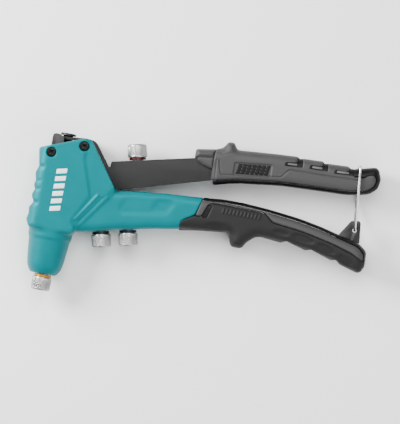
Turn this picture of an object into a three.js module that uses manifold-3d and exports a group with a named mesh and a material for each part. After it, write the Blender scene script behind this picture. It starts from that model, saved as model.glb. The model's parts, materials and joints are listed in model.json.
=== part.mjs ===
// Hand riveter with two long handles, a latch bail and three spare nosepieces.
// The tool lies on its side: +Z is its thickness, +X runs from the nose axis to the handle ends,
// and -Y is the way the nose points. Lengths are in millimetres.
import * as THREE from 'three';
import { mergeVertices } from 'three/addons/utils/BufferGeometryUtils.js';
import Module from 'manifold-3d';

const wasm = await Module();
wasm.setup();

// Driving dimensions. Outline points are measured from the nosepiece's front face on the nose axis.
const PANEL_FROM_NOSE = 80;        // the origin sits on the flat side panel, this far behind the nose
const HEAD_WIDTH = 32;             // across the two cheeks
const MID = HEAD_WIDTH / 2;        // the plane of symmetry
const ARM_WIDTH = 27.6;
const TANG_WIDTH = 9;
const SLOT_WIDTH = 19;             // between the cheeks
const SLOT_FLOOR = 84;
const UPPER_GRIP_WIDTH = 26;
const LEVER_WIDTH = 14.6;
const SHEET = 2.2;                 // the lever is folded from sheet of this thickness
const GAP = 0.3;                   // room left between neighbouring pieces
const PIVOT = [13.7, 112.8];       // lever pivot
const GUIDE_BOLT = [-9.8, 104.0];
const BAIL_HOLE = [225.7, 87.5];   // hole in the latch lug
const BAIL_BAR = [220.9, 136.4];   // the bail's cross bar over the grip end
const BAIL_WIRE = 1.0;             // radii from here on
const BORE = 7.8;                  // through the barrel
const DRAW_TUBE = 3.8;
const DRAW_BORE = 2.6;
const NOSE_THREAD = 3.9;
const NOSE_STUB = 2.7;
const CASTING_FRONT = 12.4;        // where the barrel ends, behind the nosepiece's front face
const BORE_END = 82.3;
const JAW_CASE_FRONT = 33;
const JAW_CASE_LENGTH = 24;
const ARC_STEP = 0.4;              // radians of a rounded corner per facet
const FLANGE_FACE = 118.5;         // underside of the flange nut that the lever's fork lifts

const COLOURS = {
  teal: 0x1199a3, leverGrey: 0x44464a, gripGrey: 0x626468, softBlack: 0x3a3b3d, blackSteel: 0x26282b,
  brightSteel: 0xb9bbbd, zinc: 0x8a8c90, wire: 0xc2c4c6, gold: 0xc9a227, green: 0x1f7a3d, blue: 0x1f4fa8,
  red: 0x7d1f22,
};

function material(colour, roughness, metalness) {
  return new THREE.MeshStandardMaterial({ color: colour, roughness, metalness });
}

const MATERIALS = {
  casting: material(COLOURS.teal, 0.4, 0.0),
  lever: material(COLOURS.leverGrey, 0.5, 0.5),
  grip: material(COLOURS.gripGrey, 0.6, 0.0),
  soft: material(COLOURS.softBlack, 0.8, 0.0),
  black: material(COLOURS.blackSteel, 0.4, 0.7),
  bright: material(COLOURS.brightSteel, 0.3, 0.9),
  zinc: material(COLOURS.zinc, 0.4, 0.8),
  wire: material(COLOURS.wire, 0.25, 1.0),
  gold: material(COLOURS.gold, 0.4, 0.5),
  green: material(COLOURS.green, 0.4, 0.3),
  blue: material(COLOURS.blue, 0.4, 0.3),
  red: material(COLOURS.red, 0.4, 0.3),
};

// ---- solids from three.js geometry ----

function solid(geometry) {
  geometry.deleteAttribute('normal');
  geometry.deleteAttribute('uv');
  const merged = mergeVertices(geometry);
  const index = merged.index.array;
  const triangles = [];
  for (let i = 0; i < index.length; i += 3) {
    const [a, b, c] = [index[i], index[i + 1], index[i + 2]];
    if (a !== b && b !== c && c !== a) {
      triangles.push(a, b, c);
    }
  }
  return new wasm.Manifold(new wasm.Mesh({
    numProp: 3,
    vertProperties: new Float32Array(merged.attributes.position.array),
    triVerts: new Uint32Array(triangles),
  }));
}

function geometryOf(manifold) {
  const { vertProperties, triVerts } = manifold.getMesh();
  const geometry = new THREE.BufferGeometry();
  geometry.setAttribute('position', new THREE.BufferAttribute(vertProperties, 3));
  geometry.setIndex(new THREE.BufferAttribute(triVerts, 1));
  geometry.computeVertexNormals();
  return geometry;
}

function unite(...solids) {
  return solids.reduce((whole, piece) => whole.add(piece));
}

function cut(whole, ...tools) {
  return tools.reduce((left, tool) => left.subtract(tool), whole);
}

// An outline is a list of [x, y] corners, or [x, y, radius] where the corner is rounded.
function outline(corners) {
  const points = corners.flatMap((corner, i) => {
    const before = corners.at(i - 1);
    const after = corners[(i + 1) % corners.length];
    return corner[2] > 0 ? cornerArc(before, corner, after) : [new THREE.Vector2(corner[0], corner[1])];
  });
  return new THREE.Shape(points.filter((point, i) => point.distanceTo(points.at(i - 1)) > 0.02));
}

function cornerArc(before, [x, y, radius], after) {
  const corner = new THREE.Vector2(x, y);
  const toBefore = new THREE.Vector2(before[0], before[1]).sub(corner).normalize();
  const toAfter = new THREE.Vector2(after[0], after[1]).sub(corner).normalize();
  const between = Math.acos(THREE.MathUtils.clamp(toBefore.dot(toAfter), -1, 1));
  const length = radius / Math.tan(between / 2);
  const start = corner.clone().addScaledVector(toBefore, length);
  const end = corner.clone().addScaledVector(toAfter, length);
  const centre = toBefore.clone().add(toAfter).setLength(Math.hypot(radius, length)).add(corner);
  const clockwise = toBefore.cross(toAfter) > 0;
  const from = Math.atan2(start.y - centre.y, start.x - centre.x);
  const to = Math.atan2(end.y - centre.y, end.x - centre.x);
  const steps = Math.ceil((Math.PI - between) / ARC_STEP);
  return new THREE.EllipseCurve(centre.x, centre.y, radius, radius, from, to, clockwise).getPoints(steps);
}

// A plate between two heights whose rim is rounded or chamfered by the edge size.
function plate(shape, low, high, edge = 0, edgeSegments = 1) {
  return solid(new THREE.ExtrudeGeometry(shape, {
    depth: high - low - 2 * edge,
    bevelEnabled: edge > 0,
    bevelThickness: edge,
    bevelSize: edge,
    bevelOffset: -edge,
    bevelSegments: edgeSegments,
  }).translate(0, 0, low + edge));
}

function centredPlate(shape, width, edge, edgeSegments) {
  return plate(shape, MID - width / 2, MID + width / 2, edge, edgeSegments);
}

// A turned piece on the nose axis: [radius, distance behind the nose] corners, going round the section.
function turned(section, segments = 28) {
  const points = section.map(([radius, along]) => new THREE.Vector2(radius, along));
  if (section[0][0] > 0) {
    points.push(points[0].clone());
  }
  return solid(new THREE.LatheGeometry(points, segments).translate(0, 0, MID));
}

function tube(inner, outer, from, to, segments) {
  return turned([[inner, from], [outer, from], [outer, to], [inner, to]], segments);
}

function rod(radius, from, to, segments) {
  return turned([[0, from], [radius, from], [radius, to], [0, to]], segments);
}

function crossRod([x, y], radius, low, high, segments = 24) {
  const geometry = new THREE.CylinderGeometry(radius, radius, high - low, segments);
  return solid(geometry.rotateX(Math.PI / 2).translate(x, y, (low + high) / 2));
}

function block(low, high) {
  const size = high.map((value, i) => value - low[i]);
  const centre = high.map((value, i) => (value + low[i]) / 2);
  return solid(new THREE.BoxGeometry(...size).translate(...centre));
}

// Moves a piece modelled on the nose axis to a seat on the handles: its casting end meets the seat.
function atSeat(piece, { point, turn }) {
  return piece.translate([0, -CASTING_FRONT, 0]).rotate([0, 0, turn]).translate([point[0], point[1], 0]);
}

class Helix extends THREE.Curve {
  constructor(radius, from, to, turns) {
    super();
    Object.assign(this, { radius, from, to, turns });
  }

  getPoint(t, target = new THREE.Vector3()) {
    const angle = t * this.turns * 2 * Math.PI;
    const along = THREE.MathUtils.lerp(this.from, this.to, t);
    return target.set(this.radius * Math.cos(angle), along, MID + this.radius * Math.sin(angle));
  }
}

function wireAlong(path, radius, steps, sides) {
  const section = new THREE.Shape();
  for (let i = 0; i < sides; i += 1) {
    const angle = (i / sides) * 2 * Math.PI;
    const corner = [radius * Math.cos(angle), radius * Math.sin(angle)];
    if (i === 0) {
      section.moveTo(...corner);
    } else {
      section.lineTo(...corner);
    }
  }
  return solid(new THREE.ExtrudeGeometry(section, { steps, extrudePath: path, bevelEnabled: false }));
}

// ---- seats of the nosepieces ----

const SEATS = {
  fitted: { point: [0, CASTING_FRONT], turn: 0 },
  arm_front: { point: [37.05, 52.25], turn: 14.2 },
  arm_rear: { point: [57.1, 57.0], turn: 12.1 },
  lever_top: { point: [55.0, 109.7], turn: 193.1 },
};

// ---- head, arm and tang ----

const TANG = [
  [85, 84], [118, 86.5, 60], [150, 86.8, 80], [175, 84.5, 90], [200, 80.2], [222, 74.5, 1],
  [221, 67.8, 1], [200, 71.5], [175, 75, 60], [150, 76], [118, 75], [85, 72],
];

function tangSpace(room) {
  const grown = outline([[84, 84 + room], [118, 86.5 + room], [150, 86.8 + room], [175, 84.5 + room],
    [200, 80.2 + room], [222 + room, 74.5 + room], [221 + room, 67.8 - room], [200, 71.5 - room],
    [175, 75 - room], [150, 76 - room], [118, 75 - room], [84, 72 - room]]);
  return centredPlate(grown, TANG_WIDTH + 2 * room, 0);
}

function head() {
  const side = outline([[-16.8, 45.5, 2], [-19.8, 51.5, 2], [-18.6, 58, 10], [-18.6, 90, 30],
    [-19.5, 105.9, 1.5], [17.1, 120.3, 6.5], [43.2, 84.2], [38.5, 80], [18.5, 55.5, 8], [17, 46]]);
  const section = outline([[-20, 0, 8], [50, 0, 1.5], [50, HEAD_WIDTH, 1.5], [-20, HEAD_WIDTH, 8]]);
  const acrossNose = solid(new THREE.ExtrudeGeometry(section, { depth: 90, bevelEnabled: false })
    .rotateX(Math.PI / 2).translate(0, 130, 0));
  return centredPlate(side, HEAD_WIDTH, 1).intersect(acrossNose);
}

function arm() {
  const side = outline([[8, 46.9], [21.9, 48.4, 20], [48.7, 55.2, 40], [73.9, 60.6], [94.2, 64.1], [95, 71, 3],
    [104.9, 77.2, 4], [109, 90.8], [80.9, 89.1, 60], [46.7, 85.1], [42, 84.6], [30, 92], [8, 92]]);
  return centredPlate(side, ARM_WIDTH, 2.5);
}

function barrel() {
  const section = [[0, CASTING_FRONT], [9.4, CASTING_FRONT], [10.9, 13.2], [13.5, 19], [14.4, 26], [15.9, 39.3],
    [16.6, 48], [16.6, 56], [0, 56]];
  return turned(section, 40).translate([0, 0, -MID]).scale([1, 1, 0.93]).translate([0, 0, MID]);
}

function bodyCasting() {
  const slotWalls = outline([[-14.6, SLOT_FLOOR, 2], [45, SLOT_FLOOR, 1], [52, 125], [-14.6, 125]]);
  const bore = unite(rod(BORE, 0, BORE_END), rod(5, BORE_END - 1, SLOT_FLOOR + 1, 24));
  const pivotHole = unite(crossRod(PIVOT, 3.3, -1, HEAD_WIDTH + 1), crossRod(PIVOT, 3.9, -1, 2.8),
    crossRod(PIVOT, 3.9, HEAD_WIDTH - 2.8, HEAD_WIDTH + 1));
  const guideHole = unite(crossRod(GUIDE_BOLT, 2.5, -1, HEAD_WIDTH + 1), crossRod(GUIDE_BOLT, 3.9, -1, 2.8),
    crossRod(GUIDE_BOLT, 3.9, HEAD_WIDTH - 2.8, HEAD_WIDTH + 1));
  const socket = rod(NOSE_THREAD + GAP, CASTING_FRONT - 1, CASTING_FRONT + 14.5, 24);
  const whole = unite(head(), arm(), barrel(), centredPlate(outline(TANG), TANG_WIDTH));
  return cut(whole, centredPlate(slotWalls, SLOT_WIDTH, 0), bore, pivotHole, guideHole,
    atSeat(socket, SEATS.arm_front), atSeat(socket, SEATS.arm_rear),
    lugSlot(), crossRod([217, 72], 1.8, 0, HEAD_WIDTH, 16));
}

// ---- through bolts: a barrel nut from one side and a screw from the other ----

const BOLT_HEAD = 3.6;
const BOLT_HEAD_HEIGHT = 2.2;
const HEAD_INSET = 0.3;

function crossRecess([x, y], low, high) {
  const bar = block([x - 2.1, y - 0.45, low], [x + 2.1, y + 0.45, high]);
  const other = block([x - 0.45, y - 2.1, low], [x + 0.45, y + 2.1, high]);
  return unite(bar, other);
}

function barrelNut(centre, radius, shank) {
  const under = HEAD_INSET + BOLT_HEAD_HEIGHT;
  const body = unite(crossRod(centre, BOLT_HEAD, HEAD_INSET, under), crossRod(centre, radius, under - 0.5, 26));
  const tapped = crossRod(centre, shank + 0.15, under + 2, 27, 20);
  return cut(body, tapped, crossRecess(centre, -1, HEAD_INSET + 1.1));
}

function barrelScrew(centre, shank) {
  const top = HEAD_WIDTH - HEAD_INSET;
  const body = unite(crossRod(centre, BOLT_HEAD, top - BOLT_HEAD_HEIGHT, top), crossRod(centre, shank, 8, top - 1));
  return cut(body, crossRecess(centre, top - 1.1, HEAD_WIDTH + 1));
}

// ---- parts between the cheeks ----

function guideBracket() {
  const legSide = outline([[-14.2, 98.5, 2], [-14.2, 107, 1], [-11.2, 109.2, 0.8], [-11.2, 118.7, 2.2],
    [-6.4, 118.7, 0.5], [-2.5, 116.6, 1.5], [-2.5, 98.5, 2]]);
  const width = SLOT_WIDTH - 2 * GAP;
  const whole = centredPlate(legSide, width, 0);
  const between = width - 3;
  const inside = outline([[-16, 96], [-16, 106], [-9.7, 108, 0.5], [-9.7, 117.2, 1], [-6.5, 117.2, 0.3],
    [-6.4, 120], [0, 120], [0, 96]]);
  return cut(whole, centredPlate(inside, between, 0), crossRod(GUIDE_BOLT, 2.5, 0, HEAD_WIDTH));
}

function flangeNut() {
  return turned([[DRAW_TUBE + GAP, FLANGE_FACE], [5.5, FLANGE_FACE], [5.85, FLANGE_FACE + 0.35],
    [5.85, FLANGE_FACE + 1.6], [5.4, FLANGE_FACE + 2], [DRAW_TUBE + GAP, FLANGE_FACE + 2]]);
}

function jawCase() {
  const front = JAW_CASE_FRONT;
  const back = front + JAW_CASE_LENGTH;
  return turned([[3.2, front], [6.6, front], [7.3, front + 1], [7.3, back - 0.6], [6.8, back],
    [DRAW_TUBE + GAP, back], [DRAW_TUBE + GAP, back - 4.2], [5.4, back - 4.2], [5.4, front + 12],
    [3.6, front + 1.5], [3.2, front + 1.5]]);
}

function jaws() {
  const front = JAW_CASE_FRONT + 1.8;
  const cone = turned([[1, front], [3.25, front], [4.95, front + 9.6], [4.95, front + 10.2], [1, front + 10.2]], 36);
  const third = outline([[0.3, 0.17], [12, 6.9], [0, 14], [-11.7, 7.0]]);
  return [0, 120, 240].map((turn) => {
    const wedge = solid(new THREE.ExtrudeGeometry(third, { depth: 20, bevelEnabled: false }))
      .rotate([90, 0, 0]).translate([0, front + 15, 0]).rotate([0, turn, 0]).translate([0, 0, MID]);
    return cone.intersect(wedge);
  });
}

function jawPusher() {
  const front = JAW_CASE_FRONT + 12.3;
  return turned([[1.6, front], [4.9, front], [4.9, front + 1.7], [2.7, front + 1.7], [2.7, front + 4.2],
    [1.6, front + 4.2]], 24);
}

// ---- nosepieces ----

function nosepiece(mandrelBore) {
  const thread = CASTING_FRONT - GAP;
  return turned([[mandrelBore, 0], [6.3, 0], [6.9, 0.6], [7.4, 9.3], [7.0, 9.9], [5.2, 9.9], [5.2, thread],
    [NOSE_THREAD, thread], [NOSE_THREAD, 21], [NOSE_STUB, 21.6], [NOSE_STUB, 25], [mandrelBore + 0.4, 25],
    [mandrelBore, 23]], 24);
}

function idRing() {
  return tube(5.2 + GAP, 6.5, 10.1, CASTING_FRONT - GAP - 0.1, 24);
}

// ---- lever ----

function leverSide() {
  return outline([[-3.5, 115.2, 0.5], [-3.5, 117.3, 0.5], [10.2, 118.6, 20], [14, 119.1, 10], [20.6, 118.3, 4],
    [24.2, 114.8, 2], [34.4, 100.9, 1], [35.7, 101.4], [35.6, 105.2, 0.8], [97.6, 119.6, 200], [124, 125.4, 60],
    [150, 127.8, 80], [204, 129.2, 1], [204, 117.6, 1], [150, 115.6, 60], [130, 112, 40], [111.4, 104.8, 20],
    [45.6, 85.6, 3], [38, 87.5, 6], [28, 93, 12], [18.4, 106.8, 8], [12, 104.8, 6], [6.1, 108.5, 4],
    [6.1, 116.15, 0.5]]);
}

function leverChannel() {
  const inside = outline([[-8, 112], [-8, 114.6], [10.2, 116.35, 20], [14, 116.8, 8], [19.6, 116.1, 2.5],
    [22.3, 113.6, 1], [33.2, 98.8, 1], [37.9, 98.8], [37.9, 103.4, 0.5], [97.6, 117.3, 200], [124, 123.1, 60],
    [150, 125.5, 80], [210, 127.1], [210, 70], [-8, 70]]);
  const forkSlot = block([-10, 110, MID - 4.2], [8.4, 125, MID + 4.2]);
  const socket = rod(NOSE_THREAD + GAP, CASTING_FRONT - 1, CASTING_FRONT + 6, 24);
  return cut(centredPlate(leverSide(), LEVER_WIDTH), centredPlate(inside, LEVER_WIDTH - 2 * SHEET, 0),
    forkSlot, crossRod(PIVOT, 4.3, 0, HEAD_WIDTH), atSeat(socket, SEATS.lever_top),
    crossRod([188, 122.5], 2.3, 0, HEAD_WIDTH, 16));
}

function leverBush() {
  return cut(crossRod(PIVOT, 4.0, 7.6, HEAD_WIDTH - 7.6), crossRod(PIVOT, 3.3, 0, HEAD_WIDTH));
}

// The room the lever's tail needs inside the upper grip; its straight lines clear the tail's round bends.
function leverSpace() {
  const room = 3 * GAP;
  const tail = outline([[40, 82], [30, 104], [97.6, 119.6 + room], [124, 125.4 + room], [150, 127.8 + room],
    [204 + room, 129.2 + room], [204 + room, 117.6 - room], [150, 115.6 - room], [130, 112 - room],
    [111.4, 104.8 - room]]);
  return centredPlate(tail, LEVER_WIDTH + 2 * GAP, 0);
}

// ---- upper grip ----

const UPPER_EDGE = 2.5;

function upperGripWhole() {
  const side = outline([[97, 125.6], [110.5, 128.7, 3], [117, 134.6, 4], [122.5, 136.3, 3.5], [128.5, 131.2, 5],
    [157.2, 133.7, 100], [190, 134.2, 100], [219, 133.6, 8], [233.6, 137.4, 3], [238, 127, 12], [235.5, 117.5, 8],
    [216.7, 112.8, 60], [164.2, 110.5, 90], [130.4, 106.1, 60], [114.7, 102.0], [111.2, 105.2],
    [109.2, 114.2], [98.6, 117.6]]);
  return centredPlate(side, UPPER_GRIP_WIDTH, UPPER_EDGE);
}

function upperGripParts() {
  const across = UPPER_GRIP_WIDTH + 4;
  const hollow = cut(upperGripWhole(), leverSpace(), crossRod([188, 122.5], 2.3, 0, HEAD_WIDTH, 16));
  const collarZone = centredPlate(outline([[90, 98], [111.0, 98], [111.0, 140], [90, 140]]), across, 0);
  const spineZone = centredPlate(outline([[111.3, 98], [112.5, 104.6], [130.4, 108.4, 60], [164.2, 112.8, 90],
    [216.7, 115.1, 60], [233.2, 119.6, 6], [235.6, 127, 8], [241, 128.5], [245, 98]]), across, 0);
  const shellZone = centredPlate(outline([[111.3, 140], [111.3, 104.6], [130.4, 108.7, 60], [164.2, 113.1, 90],
    [216.7, 115.4, 60], [232.9, 119.9, 6], [235.3, 127.2, 8], [241, 128.8], [245, 142]]), across, 0);
  return {
    upper_grip_collar: hollow.intersect(collarZone),
    upper_grip_spine: hollow.intersect(spineZone),
    upper_grip_shell: hollow.intersect(shellZone),
  };
}

// ---- lower grip ----

const LOWER_EDGE = 2.5;
const SPINE_LINE = [[104, 89.2], [125.2, 90.6, 60], [139.9, 90.7, 60], [158.5, 89.7, 90], [183.6, 86.9, 90],
  [201.6, 83.3], [231, 75.9, 8], [235.2, 70.5, 4], [235.6, 63], [242, 62.5]];
const SOFT_LINE = [[90, 76.4], [110.2, 76.8, 2], [113.6, 86.4, 3], [117, 88.2, 2], [156.5, 88.0, 5],
  [163.5, 82.0, 5], [186.1, 79.6, 90], [210.4, 74.5, 90], [226.4, 69.6], [244, 61.8]];

function shifted(line, amount) {
  return line.map(([x, y, radius = 0]) => [x, y + amount, radius]);
}

function lowerGripWhole() {
  const side = outline([[109.4, 91], [125.2, 92.6, 60], [139.9, 92.6, 60], [158.5, 91.6, 90], [183.6, 88.9, 90],
    [201.6, 85.4], [231, 78.1, 6], [237.3, 73.4, 5], [238, 62, 10], [235.2, 55.9, 3], [210.6, 62.6, 60],
    [191.9, 66.6, 90], [172.3, 69.0, 90], [153.2, 69.6, 8], [145.6, 62.0, 6], [143.8, 58.9], [136.6, 58.9],
    [134.2, 62.4, 4], [132.6, 68.5, 3], [109.6, 65.9, 90], [94.5, 63.4], [95.4, 70.8, 3], [105.3, 77, 4]]);
  return centredPlate(side, HEAD_WIDTH, LOWER_EDGE);
}

function lugSlot() {
  return block([211.8, 68.4, MID - 1.8], [231.5, 97, MID + 1.8]);
}

function lowerGripParts() {
  const across = HEAD_WIDTH + 4;
  const hollow = cut(lowerGripWhole(), tangSpace(GAP), lugSlot(), crossRod([217, 72], 1.8, 10, HEAD_WIDTH - 10, 16));
  const spineZone = centredPlate(outline([...SPINE_LINE, [244, 100], [100, 100]]), across, 0);
  const coreTop = shifted(SPINE_LINE, -GAP).slice(0, -2);
  const coreZone = centredPlate(outline([...shifted(SOFT_LINE, GAP).slice(0, -1), [235.3, 65.9],
    ...coreTop.reverse()]), across, 0);
  const softZone = centredPlate(outline([...SOFT_LINE.slice(0, -1), [235.3, 65.6], [235.3, 62.2], [244, 61.8], [244, 50],
    [90, 50]]), across, 0);
  return {
    lower_grip_spine: hollow.intersect(spineZone),
    lower_grip_core: hollow.intersect(coreZone),
    lower_grip_overmould: hollow.intersect(softZone),
  };
}

// ---- latch ----

function latchLug() {
  const side = outline([[214.7, 82.6, 1], [221.9, 94.2, 1.5], [229.0, 95.6, 2.2], [230.9, 80, 2], [230.4, 74, 1],
    [223, 68.8, 1], [212.6, 68.8, 1], [212.6, 80, 1]]);
  return cut(plate(side, MID - 1.5, MID + 1.5), crossRod(BAIL_HOLE, 1.6, 0, HEAD_WIDTH, 20),
    crossRod([217, 72], 1.8, 0, HEAD_WIDTH, 16));
}

function latchBail() {
  const hole = new THREE.Vector2(...BAIL_HOLE);
  const up = new THREE.Vector2(...BAIL_BAR).sub(hole);
  const length = up.length();
  up.normalize();
  const reach = UPPER_GRIP_WIDTH / 2 + BAIL_WIRE + GAP;
  const half = [[0, 0.7], [0, 3.2], [1.6, 5.2], [12, 10.4], [22, reach - 0.5], [26, reach], [34, reach],
    [length - 3, reach], [length - 0.9, reach - 0.9], [length, reach - 3]];
  const at = ([along, side], sign) => new THREE.Vector3(hole.x + up.x * along, hole.y + up.y * along, MID + sign * side);
  const points = [...half.map((p) => at(p, -1)), at([length, 0], 1), ...half.map((p) => at(p, 1)).reverse()];
  return wireAlong(new THREE.CatmullRomCurve3(points, false, 'centripetal'), BAIL_WIRE, 70, 8);
}

// ---- assembly ----

const pieces = [
  ['body_casting', bodyCasting(), 'casting'],
  ['pivot_barrel_nut', barrelNut(PIVOT, 3.0, 1.6), 'black'],
  ['pivot_screw', barrelScrew(PIVOT, 1.6), 'black'],
  ['guide_barrel_nut', barrelNut(GUIDE_BOLT, 2.2, 1.2), 'black'],
  ['guide_screw', barrelScrew(GUIDE_BOLT, 1.2), 'black'],
  ['guide_bracket', guideBracket(), 'zinc'],
  ['spring_seat', tube(DRAW_TUBE + GAP, BORE - GAP, BORE_END - 2.1, BORE_END - GAP, 32), 'zinc'],
  ['return_spring', wireAlong(new Helix(5.7, JAW_CASE_FRONT + JAW_CASE_LENGTH + 1.2, BORE_END - 3.3, 6.5), 0.8, 84, 6),
    'wire'],
  ['nose_bush', tube(NOSE_THREAD + GAP, BORE - GAP, CASTING_FRONT, 22, 32), 'zinc'],
  ['nosepiece_fitted', atSeat(nosepiece(1.7), SEATS.fitted), 'bright'],
  ['id_ring_fitted', atSeat(idRing(), SEATS.fitted), 'gold'],
  ['spare_nosepiece_arm_front', atSeat(nosepiece(1.3), SEATS.arm_front), 'bright'],
  ['spare_ring_arm_front', atSeat(idRing(), SEATS.arm_front), 'green'],
  ['spare_nosepiece_arm_rear', atSeat(nosepiece(2.1), SEATS.arm_rear), 'bright'],
  ['spare_ring_arm_rear', atSeat(idRing(), SEATS.arm_rear), 'blue'],
  ['latch_lug', latchLug(), 'zinc'],
  ['lug_pin', crossRod([217, 72], 1.5, MID - TANG_WIDTH / 2 + 0.3, MID + TANG_WIDTH / 2 - 0.3, 16), 'zinc'],
  ['lever_channel', leverChannel(), 'lever'],
  ['lever_bush', leverBush(), 'zinc'],
  ['spare_nosepiece_lever', atSeat(nosepiece(2.5), SEATS.lever_top), 'bright'],
  ['spare_ring_lever', atSeat(idRing(), SEATS.lever_top), 'red'],
  ['upper_grip_pin', crossRod([188, 122.5], 2.0, MID - UPPER_GRIP_WIDTH / 2 + 0.4, MID + UPPER_GRIP_WIDTH / 2 - 0.4, 16),
    'zinc'],
  ['draw_tube', tube(DRAW_BORE, DRAW_TUBE, JAW_CASE_FRONT + JAW_CASE_LENGTH - 3.9, FLANGE_FACE + 1.6, 32), 'black'],
  ['flange_nut', flangeNut(), 'black'],
  ['jaw_case', jawCase(), 'zinc'],
  ['jaw_pusher', jawPusher(), 'zinc'],
  ['pusher_spring', wireAlong(new Helix(3.9, JAW_CASE_FRONT + 14.9, JAW_CASE_FRONT + 19.0, 3), 0.45, 42, 6), 'wire'],
  ['latch_bail', latchBail(), 'wire'],
  ...jaws().map((jaw, i) => [`jaw_${i + 1}`, jaw, 'black']),
  ...Object.entries(lowerGripParts()).map(([name, piece]) => [name, piece, name.endsWith('core') ? 'grip' : 'soft']),
  ...Object.entries(upperGripParts()).map(([name, piece]) => [name, piece, name.endsWith('spine') ? 'soft' : 'grip']),
];

const riveter = new THREE.Group();
riveter.position.y = -PANEL_FROM_NOSE;
for (const [name, piece, finish] of pieces) {
  const mesh = new THREE.Mesh(geometryOf(piece), MATERIALS[finish]);
  mesh.name = name;
  riveter.add(mesh);
}

export default riveter;
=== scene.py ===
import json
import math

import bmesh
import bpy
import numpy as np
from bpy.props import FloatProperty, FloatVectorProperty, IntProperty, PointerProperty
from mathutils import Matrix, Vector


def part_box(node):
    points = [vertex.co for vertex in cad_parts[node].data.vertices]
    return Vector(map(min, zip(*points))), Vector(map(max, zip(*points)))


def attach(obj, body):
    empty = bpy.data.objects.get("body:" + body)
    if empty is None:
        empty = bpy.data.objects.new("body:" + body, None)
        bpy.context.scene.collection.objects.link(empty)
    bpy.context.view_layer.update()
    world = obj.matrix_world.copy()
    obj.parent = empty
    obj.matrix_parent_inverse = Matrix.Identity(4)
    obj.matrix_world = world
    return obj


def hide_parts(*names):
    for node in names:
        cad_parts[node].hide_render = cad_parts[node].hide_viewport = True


bl_info = {
    "name": "Hand Riveter",
    "version": (1, 0, 0),
    "blender": (4, 5, 0),
    "location": "View3D > Sidebar > Hand Riveter",
    "description": "Builds the finished surfaces of a hand riveter around its packed frame",
    "category": "Object",
}

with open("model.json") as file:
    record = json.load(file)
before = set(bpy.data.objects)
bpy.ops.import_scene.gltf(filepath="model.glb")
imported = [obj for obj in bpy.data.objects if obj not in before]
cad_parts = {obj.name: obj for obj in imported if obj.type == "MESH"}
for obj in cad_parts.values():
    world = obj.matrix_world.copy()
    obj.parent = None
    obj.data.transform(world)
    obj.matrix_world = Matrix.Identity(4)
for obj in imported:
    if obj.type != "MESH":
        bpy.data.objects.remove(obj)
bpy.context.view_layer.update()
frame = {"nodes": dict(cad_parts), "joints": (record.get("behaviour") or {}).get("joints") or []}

# Modelling is done in millimetres from the fitted nosepiece's front face: X towards the handle ends,
# Y back along the nose axis, Z through the tool. TO_FRAME then sets a finished mesh in the frame.
MM = 0.001
NOSE_FACE_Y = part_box("nosepiece_fitted")[0].y
CASTING_LOW, CASTING_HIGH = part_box("body_casting")
HEAD_WIDTH = (CASTING_HIGH.z - CASTING_LOW.z) / MM
MID = HEAD_WIDTH / 2
TO_FRAME = Matrix.Translation((0, NOSE_FACE_Y, CASTING_LOW.z)) @ Matrix.Scale(MM, 4)
JOINTS = {joint["name"]: joint for joint in frame["joints"]}
CASTING_FRONT = 12.4
SLOT_WIDTH = 19.0
SLOT_FLOOR = 84.0
ARM_WIDTH = 27.6
LEVER_WIDTH = 14.6
SHEET = 2.2
GAP = 0.3
UPPER_GRIP_WIDTH = 26.0
LOWER_GRIP_WIDTH = HEAD_WIDTH - 1.2
GUIDE_BOLT = (-9.8, 104.0)
BAIL_BAR = (220.9, 136.4)
FLANGE_FACE = 118.5
SEATS = {
    "fitted": ((0.0, CASTING_FRONT), 0.0),
    "arm_front": ((37.05, 52.25), 14.2),
    "arm_rear": ((57.1, 57.0), 12.1),
    "lever": ((55.0, 109.7), 193.1),
}


def joint_point(name):
    """A joint's place in modelling millimetres."""
    x, y, _ = JOINTS[name]["pos_m"]
    return x / MM, (y - NOSE_FACE_Y) / MM


PIVOT = joint_point("lever_hinge")
BAIL_HOLE = joint_point("bail_hinge")


# ---------------------------------------------------------------- settings

def colour_property(name, description, value):
    """A colour setting."""
    return FloatVectorProperty(name=name, description=description, subtype="COLOR", size=3,
                               min=0.0, max=1.0, default=value)


def length_property(name, description, value):
    """A length setting in metres."""
    return FloatProperty(name=name, description=description, unit="LENGTH", min=0.0, default=value,
                         precision=5)


class RiveterColours(bpy.types.PropertyGroup):
    """Display colours of the finishes, as seen on a screen."""
    casting: colour_property("Casting", "Powder coat on the head, barrel and arm", (0.0, 0.36, 0.385))
    lever: colour_property("Lever", "Coat on the folded lever", (0.11, 0.11, 0.113))
    grip: colour_property("Hard grip", "Hard mouldings of both grips", (0.198, 0.198, 0.200))
    soft: colour_property("Soft grip", "Soft moulding with the finger hook", (0.088, 0.088, 0.090))
    edge: colour_property("Edge strip", "Strips along the facing edges of the grips", (0.036, 0.036, 0.036))
    mark: colour_property("Bars", "Painted bars on the head", (0.90, 0.93, 0.94))
    floor: colour_property("Floor", "Floor under the tool", (0.97, 0.97, 0.97))


class RiveterSizes(bpy.types.PropertyGroup):
    """Sizes of surface detail."""
    casting_voxel: length_property("Casting voxel", "Mesh size of the casting", 0.0006)
    grip_voxel: length_property("Grip voxel", "Mesh size of the grips", 0.0005)
    knurl_depth: length_property("Knurl depth", "Depth of the diamond knurl", 0.0002)
    knurl_count: IntProperty(name="Knurl count", description="Diamonds round a nosepiece", default=38, min=8)
    wire_radius: length_property("Wire radius", "Radius of the latch wire", 0.001)
    bend_radius: length_property("Bend radius", "Outer bend radius of the folded lever", 0.0019)


def colours():
    return bpy.context.scene.riveter_colours


def sizes():
    return bpy.context.scene.riveter_sizes


# ---------------------------------------------------------------- outlines

ARC_STEP = 0.16


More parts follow.
